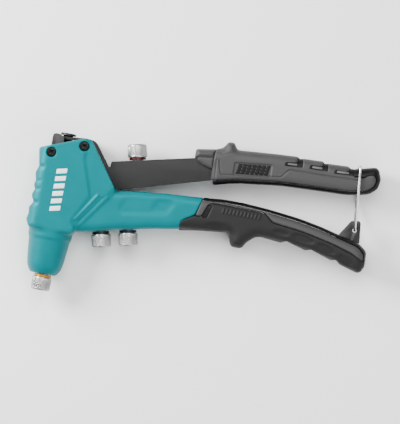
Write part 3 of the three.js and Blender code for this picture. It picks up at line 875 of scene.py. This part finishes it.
def nosepiece_body(mandrel_bore):
    """A nosepiece with a chamfered front, knurled band, ring groove, thread and stub."""
    settings = sizes()
    band = [(7.05 + 0.35 * (y - KNURL_FROM) / (KNURL_TO - KNURL_FROM), y)
            for y in np.linspace(KNURL_FROM, KNURL_TO, KNURL_ROWS)]
    front = [(mandrel_bore + 0.25, 0), (6.0, 0), (6.45, 0.12), (6.85, 0.55), (7.0, 0.9)]
    rear = [(7.4, 9.3), (7.2, 9.75), (6.9, 9.9), (5.2, 9.9), (5.2, 12.1), (3.9, 12.1), (3.9, 20.8),
            (2.7, 21.6), (2.7, 25), (mandrel_bore, 25), (mandrel_bore, 0.3)]
    body = turned([*front, *band, *rear], settings.knurl_count * 7)
    return knurled(body, settings.knurl_count, settings.knurl_depth / MM)


def ring_body():
    """A size ring for the groove behind the knurled band."""
    return turned([(5.4, 10.1), (6.3, 10.1), (6.5, 10.3), (6.5, 11.8), (6.3, 12.0), (5.4, 12.0)], 96)


NOSEPIECES = (
    ("fitted", 1.7, "gold", "frame_body", "nosepiece_fitted", "id_ring_fitted"),
    ("arm_front", 1.3, "green", "frame_body", "spare_nosepiece_arm_front", "spare_ring_arm_front"),
    ("arm_rear", 2.1, "blue", "frame_body", "spare_nosepiece_arm_rear", "spare_ring_arm_rear"),
    ("lever", 2.5, "red", "lever", "spare_nosepiece_lever", "spare_ring_lever"),
)


def build_nosepieces():
    for seat, bore, ring_colour, body, node, ring_node in NOSEPIECES:
        nose = new_object(f"{node}_visual", at_seat(nosepiece_body(bore), seat))
        finish_piece(nose, body, "bright_steel", material("plated_steel"), node, sharp=30)
        ring = new_object(f"{ring_node}_visual", at_seat(ring_body(), seat))
        finish_piece(ring, body, f"ring_{ring_colour}", material(f"ring_{ring_colour}"), ring_node)


# ---------------------------------------------------------------- lever

LEVER_SIDE = [[-3.5, 115.2, 0.6], [-3.5, 117.3, 0.6], [10.2, 118.6, 20], [14, 119.1, 10],
              [20.8, 118.3, 5], [24.2, 114.8, 2], [34.4, 100.9, 1], [35.7, 101.4, 0.3],
              [35.6, 105.2, 1.0], [97.6, 119.6, 200], [124, 125.4, 60], [150, 127.8, 80],
              [204, 129.2, 1], [204, 117.6, 1], [150, 115.6, 60], [130, 112, 40], [111.4, 104.8, 20],
              [45.6, 85.6, 4], [38, 87.5, 6], [28, 93, 12], [18.4, 106.8, 8], [12, 104.8, 6],
              [6.1, 108.5, 4], [6.1, 116.15, 0.5]]
LEVER_INSIDE = [[-8, 112], [-8, 114.6], [10.2, 116.35, 20], [14, 116.8, 8], [19.6, 116.1, 2.5],
                [22.3, 113.6, 1], [33.2, 98.8, 1], [37.9, 98.8], [37.9, 103.4, 0.5], [97.6, 117.3, 200],
                [124, 123.1, 60], [150, 125.5, 80], [210, 127.1], [210, 70], [-8, 70]]
LEVER_RISE = math.radians(13.1)


def bend_edges(bm, radius):
    """Rounds the two long folds along the lever's back."""
    folds = []
    for edge in bm.edges:
        a, b = (vert.co for vert in edge.verts)
        middle = (a + b) / 2
        along_line = 95.0 + (middle.x - 40) * math.tan(LEVER_RISE)
        level = abs(a.z - b.z) < 0.01
        if level and middle.y > along_line + 5 and 3 < middle.x < 190:
            folds.append(edge)
    bmesh.ops.bevel(bm, geom=folds, offset=radius, affect="EDGES", segments=5, profile=0.5, material=-1,
                    clamp_overlap=True)
    return bm


def build_lever():
    radius = sizes().bend_radius / MM
    lever = new_object("lever_visual", bend_edges(centred_slab(LEVER_SIDE, LEVER_WIDTH), radius))
    socket = turned([(0, CASTING_FRONT - 1), (4.2, CASTING_FRONT - 1), (4.2, 19), (0, 19)], 48)
    cut(lever, centred_slab(LEVER_INSIDE, LEVER_WIDTH - 2 * SHEET),
        cuboid((-10, 110, MID - 4.2), (8.4, 125, MID + 4.2)), cross_rod(PIVOT, 4.3, 0, HEAD_WIDTH),
        at_seat(socket, "lever"))
    rounded_edges(lever, 0.28, 3)
    finish_piece(lever, "lever", "lever_coat", material("lever_coat"), "lever_channel")


# ---------------------------------------------------------------- upper grip

UPPER_SIDE = [[96.8, 125.6, 1.5], [110.5, 128.6, 4], [116.5, 130.6, 4], [120.2, 136.0, 2.0],
              [124.6, 136.2, 2.0], [127.8, 131.2, 2.5], [157.2, 133.6, 100], [173.6, 134.6, 1.5],
              [174.8, 132.9, 0.8], [178, 133.9, 2], [192.8, 134.5, 1.5], [194.2, 132.8, 0.8],
              [197.5, 133.6, 2], [212.6, 134.3, 1.5], [214.0, 132.6, 0.8], [218.5, 133.6, 3],
              [224, 134.8, 4], [234.8, 137.8, 4], [238.3, 128.6, 6], [237.0, 121.2, 7],
              [231.4, 116.2, 8], [216.7, 112.8, 60], [164.2, 110.5, 90], [130.4, 106.1, 60],
              [114.6, 101.8, 1], [111.2, 105.4, 1], [109.2, 114.3, 1], [98.4, 117.5, 2]]
UPPER_EDGE_LINE = [[111.2, 96], [113.2, 105.0, 1], [130.4, 108.9, 60], [164.2, 113.3, 90],
                   [216.7, 115.6, 60], [229.4, 118.6, 8], [234.2, 123.0, 5], [234.9, 128, 4],
                   [232.6, 131.2, 2], [228.2, 130.0, 1.5], [225.4, 127.5, 1.5], [217.2, 127.1, 1.5],
                   [216.4, 140]]
UPPER_WINDOWS = (
    [[165.0, 125.9, 0.6], [178.4, 126.8, 0.6], [178.2, 130.8, 0.6], [176.6, 135.6], [173.6, 135.6],
     [173.3, 129.8, 0.8], [165.2, 128.6, 0.6]],
    [[183.6, 127.0, 0.6], [197.8, 127.4, 0.6], [197.4, 131.0, 0.6], [196.2, 135.6], [193.0, 135.6],
     [192.8, 130.4, 0.8], [184.0, 130.0, 0.6]],
    [[202.6, 127.0, 0.6], [217.4, 127.6, 0.6], [217.0, 131.2, 0.6], [216.0, 135.6], [213.0, 135.6],
     [212.8, 130.2, 0.8], [203.0, 129.8, 0.6]],
)
UPPER_TABS = (
    [[166.6, 127.0, 0.5], [174.2, 127.6, 0.5], [173.6, 129.0, 0.5], [166.6, 128.3, 0.5]],
    [[185.2, 127.9, 0.5], [193.2, 128.2, 0.5], [193.0, 129.9, 0.5], [185.4, 129.5, 0.5]],
    [[204.0, 127.8, 0.5], [213.6, 128.4, 0.5], [213.4, 130.0, 0.5], [204.2, 129.6, 0.5]],
)
UPPER_POCKET = [[127.2, 121.6, 1], [155.4, 124.8, 1], [156.0, 115.4, 1], [127.5, 112.0, 1]]
UPPER_CREASE = [[115.5, 121], [118.6, 110.4, 2], [128, 111.9], [156, 115.6], [163.6, 116.8, 3],
                [168.6, 123.4, 3], [200, 124], [224, 125.4]]
POCKET_BARS = 7
POCKET_BAR_PITCH = 3.55
UPPER_ROUNDING = (0.5, 8.0)


def grip_part(name, side, width, zone, rim, radius, voxel, *cutters, over=None):
    """One moulding: the part of a grip inside a zone, with crowned sides and softened edges."""
    piece = new_object(name, centred_slab(side, width))
    combine(piece, centred_slab(zone, width + 6), "INTERSECT")
    even_mesh(piece, ROUGH_VOXEL)
    crown(piece, over or side, rim, radius)
    if cutters:
        cut(piece, *cutters)
    return even_mesh(piece, voxel, 6)


def crowned_slabs(name, outlines, side, width, rim, radius):
    """Small flat pieces that follow the crown of a grip."""
    piece = new_object(name, joined(*[centred_slab(each, width) for each in outlines]))
    combine(piece, centred_slab(side, width + 2), "INTERSECT")
    even_mesh(piece, INLAY_VOXEL, 1)
    return crown(piece, side, rim, radius)


COLLAR_ROLL = [[96.8, 119.0, 1.2], [96.8, 126.4, 1.6], [112.4, 129.0, 1], [112.4, 121.1, 1]]
COLLAR_APRON = [[98.6, 122.0, 1], [98.8, 117.8, 2], [103.5, 114.9, 3], [109.0, 113.4, 2],
                [112.4, 112.8, 1], [112.4, 123.0, 1]]


def lever_room():
    """The hollow that takes the lever's tail, open at the front."""
    tail = [[40, 82], [30, 104], [97.6, 120.2], [124, 126.2], [150, 128.6], [205, 130], [205, 117],
            [150, 115], [130, 111.3], [111.4, 104.3]]
    return centred_slab(tail, LEVER_WIDTH + 2 * GAP)


def build_upper_grip():
    voxel = sizes().grip_voxel / MM
    width = UPPER_GRIP_WIDTH
    roll = new_object("collar_roll", centred_slab(COLLAR_ROLL, width - 1.0))
    crown(even_mesh(roll, COLLAR_VOXEL), COLLAR_ROLL, rim=0.5, radius=4.3)
    apron = new_object("collar_apron", centred_slab(COLLAR_APRON, width - 3.4))
    crown(even_mesh(apron, COLLAR_VOXEL), COLLAR_APRON, rim=0.7, radius=3.0)
    collar = merge_objects("upper_grip_collar_visual", roll, apron)
    even_mesh(collar, voxel, 3)
    cut(collar, lever_room())
    finish_piece(collar, "lever", "grip_hard", material("hard_grip"), "upper_grip_collar", sharp=0)

    strip_zone = [*UPPER_EDGE_LINE, [246, 145], [246, 90], [111.2, 90]]
    strip = grip_part("upper_grip_strip", UPPER_SIDE, width, strip_zone, *UPPER_ROUNDING, voxel)
    finish_piece(strip, "lever", "grip_edge", material("edge_strip"), "upper_grip_spine", sharp=0)

    shell_line = [[x, y + 0.25, *radius] for x, y, *radius in UPPER_EDGE_LINE[1:5]]
    shell_line += [[x - 0.25, y, *radius] for x, y, *radius in UPPER_EDGE_LINE[5:]]
    shell_zone = [[111.3, 104.9], *shell_line, [216.4, 145], [111.3, 145]]
    shell = grip_part("upper_grip_shell_visual", UPPER_SIDE, width, shell_zone, *UPPER_ROUNDING, voxel)
    press_in(shell, UPPER_POCKET, 0.8, edge=0.8)
    for window in UPPER_WINDOWS:
        press_in(shell, window, 1.5, edge=0.5, outer=5)
    groove(shell, UPPER_CREASE, 1.6, 0.75, outer=7)
    groove(shell, [[114.6, 105], [113.6, 121.5]], 1.6, 0.6, outer=6)
    groove(shell, [[112.5, 128.2], [118.5, 126], [126.5, 129.5]], 1.6, 0.35, outer=4)
    finish_piece(shell, "lever", "grip_hard", material("hard_grip"), "upper_grip_shell", sharp=0)

    inlays = crowned_slabs("upper_grip_inlays", UPPER_WINDOWS, UPPER_SIDE, width - 2.2, *UPPER_ROUNDING)
    finish_piece(inlays, "lever", "grip_edge", material("edge_strip"))
    tabs = crowned_slabs("upper_grip_tabs", UPPER_TABS, UPPER_SIDE, width - 1.2, *UPPER_ROUNDING)
    finish_piece(tabs, "lever", "grip_hard", material("pale_tab"))
    bars = []
    for i in range(POCKET_BARS):
        x = 129.6 + i * POCKET_BAR_PITCH
        rise = (x - 127) * 0.12
        bars.append([[x - 0.4, 113.0 + rise, 0.3], [x + 2.4, 113.2 + rise, 0.3], [x + 3.6, 121.0 + rise, 0.3],
                     [x + 0.8, 120.8 + rise, 0.3]])
    pocket = crowned_slabs("upper_grip_bars", bars, UPPER_SIDE, width - 0.7, *UPPER_ROUNDING)
    finish_piece(pocket, "lever", "grip_edge", material("edge_strip"))


# ---------------------------------------------------------------- lower grip

LOWER_SIDE = [[108.9, 91.2], [125.2, 92.7, 60], [139.9, 92.7, 60], [158.5, 91.6, 90], [183.6, 88.9, 90],
              [201.6, 85.4], [231, 78.1, 6], [237.3, 73.4, 5], [238, 62, 10], [234.8, 55.6, 4],
              [219.4, 60.0, 3], [215.8, 63.2, 1.5], [211.8, 62.0, 1.5], [195.6, 67.4, 1.5],
              [191.6, 65.9, 1.5], [176.4, 70.2, 1.5], [172.4, 68.2, 1.5], [153.6, 69.9, 9],
              [146.6, 63.4, 8], [143.9, 58.4, 3.6], [135.6, 58.4, 3.4], [133.9, 62.8, 5],
              [132.2, 68.4, 4], [109.6, 65.9, 90], [94.6, 63.4], [95.4, 70.9, 3], [105.5, 77.0, 4]]
LOWER_EDGE_LINE = [[104, 88.6], [125.2, 90.2, 60], [139.9, 90.3, 60], [158.5, 89.2, 90],
                   [183.6, 86.4, 90], [201.6, 82.9], [230.4, 75.5, 8], [234.9, 71.0, 4],
                   [235.5, 66.5, 10], [235.8, 60], [243, 57]]
LOWER_CROWN = [[70, 90.6], [125.2, 92.7, 60], [139.9, 92.7, 60], [158.5, 91.6, 90], [183.6, 88.9, 90],
               [201.6, 85.4], [231, 78.1, 6], [237.3, 73.4, 5], [238, 62, 10], [234.8, 55.6, 4],
               [219.4, 60.0, 3], [211.8, 62.6, 3], [191.6, 66.6, 3], [172.4, 69.0, 3], [153.6, 69.9, 9],
               [146.6, 63.4, 8], [143.9, 58.4, 3.6], [135.6, 58.4, 3.4], [133.9, 62.8, 5],
               [132.2, 68.4, 4], [109.6, 65.9, 90], [70, 62]]
SOFT_LINE = [[90, 76.2], [109.8, 76.6, 2], [113.4, 86.4, 3], [117, 88.0, 2.5], [156.8, 87.9, 6],
             [163.8, 81.8, 6], [186.1, 79.4, 90], [210.4, 74.4, 90], [226.4, 69.6, 20], [235.2, 65.2]]
FINGER_LOBES = ((171, 75.6, 5.6, 1.9, -3), (188.5, 74.2, 8.0, 2.6, -10), (206.5, 69.8, 7.0, 2.6, -18),
                (222.5, 64.0, 6.0, 2.6, -24), (122, 71.8, 7.0, 2.0, 4))
RIB_COUNT = 11
RIB_PITCH = 2.75
LOWER_ROUNDING = (0.46, 9.0)
LOWER_RECESS = [[109.9, 76.2, 1.8], [114.2, 76.4, 1.8], [117.0, 86.2, 1.8], [113.4, 86.6, 1.8]]


def ellipse(x, y, length, height, turn):
    """An outline round a point, turned by degrees."""
    spin = Matrix.Rotation(math.radians(turn), 2)
    points = []
    for i in range(28):
        angle = math.tau * i / 28
        offset = spin @ Vector((length * math.cos(angle), height * math.sin(angle)))
        points.append([x + offset.x, y + offset.y])
    return points


def build_lower_grip():
    voxel = sizes().grip_voxel / MM
    strip_zone = [*LOWER_EDGE_LINE, [246, 57], [246, 100], [98, 100]]
    side, width = LOWER_SIDE, LOWER_GRIP_WIDTH
    slot = cuboid((211.8, 68.4, MID - 1.8), (231.5, 97, MID + 1.8))
    strip = grip_part("lower_grip_strip", side, width, strip_zone, *LOWER_ROUNDING, voxel, slot,
                      over=LOWER_CROWN)
    finish_piece(strip, "frame_body", "grip_edge", material("edge_strip"), "lower_grip_spine", sharp=0)

    top = [[x, y - 0.3, *radius] for x, y, *radius in LOWER_EDGE_LINE[:-2]]
    core_zone = [*[[x, y + 0.28, *radius] for x, y, *radius in SOFT_LINE], *reversed(top)]
    core = grip_part("lower_grip_core_visual", side, width, core_zone, *LOWER_ROUNDING, voxel,
                     over=LOWER_CROWN)
    groove(core, [[104.6, 79], [108.6, 90]], 1.5, 0.5, outer=6)
    finish_piece(core, "frame_body", "grip_hard", material("hard_grip"), "lower_grip_core", sharp=0)

    soft_zone = [*SOFT_LINE[:-1], [236.0, 65.4], [236.4, 60], [243, 57], [243, 50], [88, 50]]
    soft = grip_part("lower_grip_soft", side, width, soft_zone, *LOWER_ROUNDING, voxel, over=LOWER_CROWN)
    press_in(soft, LOWER_RECESS, 1.5, edge=0.6)
    for lobe in FINGER_LOBES:
        press_in(soft, ellipse(*lobe), 1.0, edge=3.0, outer=6)
    for i in range(RIB_COUNT):
        x = 124.4 + i * RIB_PITCH
        rib = [[x, 82.0, 0.4], [x + 1.3, 82.0, 0.4], [x + 2.1, 86.2, 0.4], [x + 0.8, 86.2, 0.4]]
        press_in(soft, rib, -0.55, edge=0.4)
    finish_piece(soft, "frame_body", "grip_soft", material("soft_grip"), "lower_grip_overmould", sharp=0)
    inlay = crowned_slabs("lower_grip_inlay", [LOWER_RECESS], LOWER_CROWN, width - 2.0, *LOWER_ROUNDING)
    finish_piece(inlay, "frame_body", "grip_edge", material("edge_strip"))


# ---------------------------------------------------------------- latch

LUG_SIDE = [[214.7, 82.6, 1], [221.9, 94.2, 2.0], [229.2, 95.7, 2.4], [230.9, 80, 2], [230.4, 74, 1],
            [223, 68.8, 1], [212.6, 68.8, 1], [212.6, 80, 1]]


def build_latch_lug():
    lug = new_object("latch_lug_visual", slab(LUG_SIDE, MID - 1.5, MID + 1.5))
    cut(lug, cross_rod(BAIL_HOLE, 1.6, 0, HEAD_WIDTH, 48))
    rounded_edges(lug, 0.4, 3)
    finish_piece(lug, "frame_body", "zinc_steel", material("zinc_steel"), "latch_lug")


def build_latch_bail():
    """Spring wire from both sides of the lug hole, out past the grip and across over its end."""
    wire = sizes().wire_radius / MM
    hole = Vector(BAIL_HOLE)
    up = Vector(BAIL_BAR) - hole
    length = up.length
    up.normalize()
    reach = UPPER_GRIP_WIDTH / 2 + wire + GAP
    half = [(0, 0.7), (0, 2.0), (0, 3.0), (0.5, 4.2), (1.8, 5.4), (6, 7.4), (12, 10.4), (18, reach - 1.6),
            (22, reach - 0.4), (26, reach), (34, reach), (length - 4, reach), (length - 1.6, reach - 0.4),
            (length - 0.4, reach - 1.6), (length, reach - 4)]
    path = [(*(hole + up * along), MID - side) for along, side in half]
    path += [(*(hole + up * along), MID + side) for along, side in reversed(half)]
    curve = bpy.data.curves.new("latch_bail_visual", "CURVE")
    curve.dimensions = "3D"
    curve.bevel_depth = wire
    curve.bevel_resolution = 6
    curve.resolution_u = 8
    curve.use_fill_caps = True
    spline = curve.splines.new("NURBS")
    spline.points.add(len(path) - 1)
    for point, place in zip(spline.points, path):
        point.co = (*place, 1.0)
    spline.order_u = 4
    spline.use_endpoint_u = True
    swept = bpy.data.objects.new("swept", curve)
    bpy.context.scene.collection.objects.link(swept)
    bpy.context.view_layer.update()
    mesh = bpy.data.meshes.new_from_object(swept.evaluated_get(bpy.context.evaluated_depsgraph_get()))
    bpy.data.objects.remove(swept)
    bpy.data.curves.remove(curve)
    bail = bpy.data.objects.new("latch_bail_visual", mesh)
    bpy.context.scene.collection.objects.link(bail)
    finish_piece(bail, "bail", "spring_wire", material("wire_steel"), "latch_bail")


# ---------------------------------------------------------------- hidden parts

HIDDEN_FINISHES = {"nose_bush": "zinc_steel", "spring_seat": "zinc_steel",
                   "return_spring": "wire_steel", "lever_bush": "zinc_steel", "jaw_case": "zinc_steel",
                   "jaw_1": "black_steel", "jaw_2": "black_steel", "jaw_3": "black_steel",
                   "jaw_pusher": "zinc_steel", "pusher_spring": "wire_steel", "lug_pin": "zinc_steel",
                   "upper_grip_pin": "zinc_steel"}


def finish_hidden_parts():
    for node, name in HIDDEN_FINISHES.items():
        for each in frame["nodes"][node].material_slots:
            each.material = material(name)


# ---------------------------------------------------------------- stage

VIEW_CENTRE = (108.3, 80.0)
VIEW_DISTANCE = 3.2
VIEW_WIDTH = 0.3024
VIEW_ROLL = 10.5
FLOOR_SIZE = 12.0
FLOOR_DROP = 0.0003
WORLD_STRENGTH = 0.6


def area_light(name, place, target, size, power):
    """A square soft light aimed at a point."""
    light = bpy.data.lights.new(name, "AREA")
    light.shape = "RECTANGLE"
    light.size = light.size_y = size
    light.energy = power
    lamp = bpy.data.objects.new(name, light)
    lamp.location = place
    lamp.rotation_euler = (Vector(target) - Vector(place)).to_track_quat("-Z", "Y").to_euler()
    bpy.context.scene.collection.objects.link(lamp)


def build_stage():
    bm = bmesh.new()
    bmesh.ops.create_grid(bm, x_segments=2, y_segments=2, size=FLOOR_SIZE)
    floor = new_object("floor", bm)
    floor.location.z = -FLOOR_DROP
    surface = bpy.data.materials.new("floor")
    surface.use_nodes = True
    shader = surface.node_tree.nodes["Principled BSDF"]
    shader.inputs["Base Color"].default_value = (*linear(colours().floor), 1)
    shader.inputs["Roughness"].default_value = 0.9
    floor.data.materials.append(surface)
    centre = TO_FRAME @ Vector((*VIEW_CENTRE, MID))
    area_light("key", (-0.85, 0.30, 0.55), centre, 0.5, 34)
    area_light("fill", (0.7, -0.4, 0.7), centre, 0.8, 6)
    area_light("top", (0.1, 0.55, 1.4), centre, 0.9, 18)
    world = bpy.data.worlds.new("studio")
    world.use_nodes = True
    background = world.node_tree.nodes["Background"]
    background.inputs["Color"].default_value = (1, 1, 1, 1)
    background.inputs["Strength"].default_value = WORLD_STRENGTH
    bpy.context.scene.world = world
    camera = bpy.data.cameras.new("camera")
    camera.sensor_fit = "HORIZONTAL"
    camera.angle = 2 * math.atan(VIEW_WIDTH / 2 / VIEW_DISTANCE)
    camera.clip_start = 0.01
    viewer = bpy.data.objects.new("camera", camera)
    viewer.location = centre + Vector((0, 0, VIEW_DISTANCE))
    viewer.rotation_euler = (0, 0, math.radians(VIEW_ROLL))
    bpy.context.scene.collection.objects.link(viewer)
    bpy.context.scene.camera = viewer


# ---------------------------------------------------------------- operators and panel

class PieceOperator:
    """What every piece's operator shares."""
    bl_options = {"REGISTER", "UNDO"}


class RIVETER_OT_stage(PieceOperator, bpy.types.Operator):
    """Floor, studio lights and camera."""
    bl_idname = "riveter.stage"
    bl_label = "Stage"

    def execute(self, context):
        build_stage()
        return {"FINISHED"}


class RIVETER_OT_casting(PieceOperator, bpy.types.Operator):
    """Head, barrel and arm in one painted casting."""
    bl_idname = "riveter.casting"
    bl_label = "Body casting"

    def execute(self, context):
        build_casting()
        return {"FINISHED"}


class RIVETER_OT_head_bars(PieceOperator, bpy.types.Operator):
    """Painted bars on the sides of the head."""
    bl_idname = "riveter.head_bars"
    bl_label = "Head bars"

    def execute(self, context):
        build_head_bars()
        return {"FINISHED"}


class RIVETER_OT_bolts(PieceOperator, bpy.types.Operator):
    """Lever pivot and guide bolts with cross recesses."""
    bl_idname = "riveter.bolts"
    bl_label = "Through bolts"

    def execute(self, context):
        build_bolts()
        return {"FINISHED"}


class RIVETER_OT_guide_bracket(PieceOperator, bpy.types.Operator):
    """Folded bracket in the slot of the head."""
    bl_idname = "riveter.guide_bracket"
    bl_label = "Guide bracket"

    def execute(self, context):
        build_guide_bracket()
        return {"FINISHED"}


class RIVETER_OT_draw_tube(PieceOperator, bpy.types.Operator):
    """Draw tube and its flange nut."""
    bl_idname = "riveter.draw_tube"
    bl_label = "Draw tube"

    def execute(self, context):
        build_draw_tube()
        return {"FINISHED"}


class RIVETER_OT_nosepieces(PieceOperator, bpy.types.Operator):
    """Fitted and spare nosepieces with their size rings."""
    bl_idname = "riveter.nosepieces"
    bl_label = "Nosepieces"

    def execute(self, context):
        build_nosepieces()
        return {"FINISHED"}


class RIVETER_OT_lever(PieceOperator, bpy.types.Operator):
    """Folded steel lever."""
    bl_idname = "riveter.lever"
    bl_label = "Lever"

    def execute(self, context):
        build_lever()
        return {"FINISHED"}


class RIVETER_OT_upper_grip(PieceOperator, bpy.types.Operator):
    """Collar, shell, strip and inlays of the upper grip."""
    bl_idname = "riveter.upper_grip"
    bl_label = "Upper grip"

    def execute(self, context):
        build_upper_grip()
        return {"FINISHED"}


class RIVETER_OT_lower_grip(PieceOperator, bpy.types.Operator):
    """Hard moulding, soft moulding and strip of the lower grip."""
    bl_idname = "riveter.lower_grip"
    bl_label = "Lower grip"

    def execute(self, context):
        build_lower_grip()
        return {"FINISHED"}


class RIVETER_OT_latch_lug(PieceOperator, bpy.types.Operator):
    """Steel plate that carries the latch."""
    bl_idname = "riveter.latch_lug"
    bl_label = "Latch lug"

    def execute(self, context):
        build_latch_lug()
        return {"FINISHED"}


class RIVETER_OT_latch_bail(PieceOperator, bpy.types.Operator):
    """Spring-wire loop over the upper grip's end."""
    bl_idname = "riveter.latch_bail"
    bl_label = "Latch bail"

    def execute(self, context):
        build_latch_bail()
        return {"FINISHED"}


class RIVETER_OT_hidden_parts(PieceOperator, bpy.types.Operator):
    """Finishes of the parts inside the tool."""
    bl_idname = "riveter.hidden_parts"
    bl_label = "Hidden parts"

    def execute(self, context):
        finish_hidden_parts()
        return {"FINISHED"}


OPERATORS = (RIVETER_OT_stage, RIVETER_OT_casting, RIVETER_OT_head_bars, RIVETER_OT_bolts,
             RIVETER_OT_guide_bracket, RIVETER_OT_draw_tube, RIVETER_OT_nosepieces, RIVETER_OT_lever,
             RIVETER_OT_upper_grip, RIVETER_OT_lower_grip, RIVETER_OT_latch_lug, RIVETER_OT_latch_bail,
             RIVETER_OT_hidden_parts)


class RIVETER_PT_panel(bpy.types.Panel):
    """Lists the pieces and their settings."""
    bl_label = "Hand Riveter"
    bl_idname = "RIVETER_PT_panel"
    bl_space_type = "VIEW_3D"
    bl_region_type = "UI"
    bl_category = "Hand Riveter"

    def draw(self, context):
        for group in (context.scene.riveter_colours, context.scene.riveter_sizes):
            box = self.layout.box()
            for name in group.bl_rna.properties.keys():
                if name not in {"rna_type", "name"}:
                    box.prop(group, name)
        for operator in OPERATORS:
            self.layout.operator(operator.bl_idname)


CLASSES = (RiveterColours, RiveterSizes, *OPERATORS, RIVETER_PT_panel)


def register():
    for each in CLASSES:
        bpy.utils.register_class(each)
    bpy.types.Scene.riveter_colours = PointerProperty(type=RiveterColours)
    bpy.types.Scene.riveter_sizes = PointerProperty(type=RiveterSizes)


def unregister():
    del bpy.types.Scene.riveter_sizes
    del bpy.types.Scene.riveter_colours
    for each in reversed(CLASSES):
        bpy.utils.unregister_class(each)


def main():
    register()
    for operator in OPERATORS:
        module, name = operator.bl_idname.split(".")
        getattr(getattr(bpy.ops, module), name)()


if __name__ == "__main__":
    main()
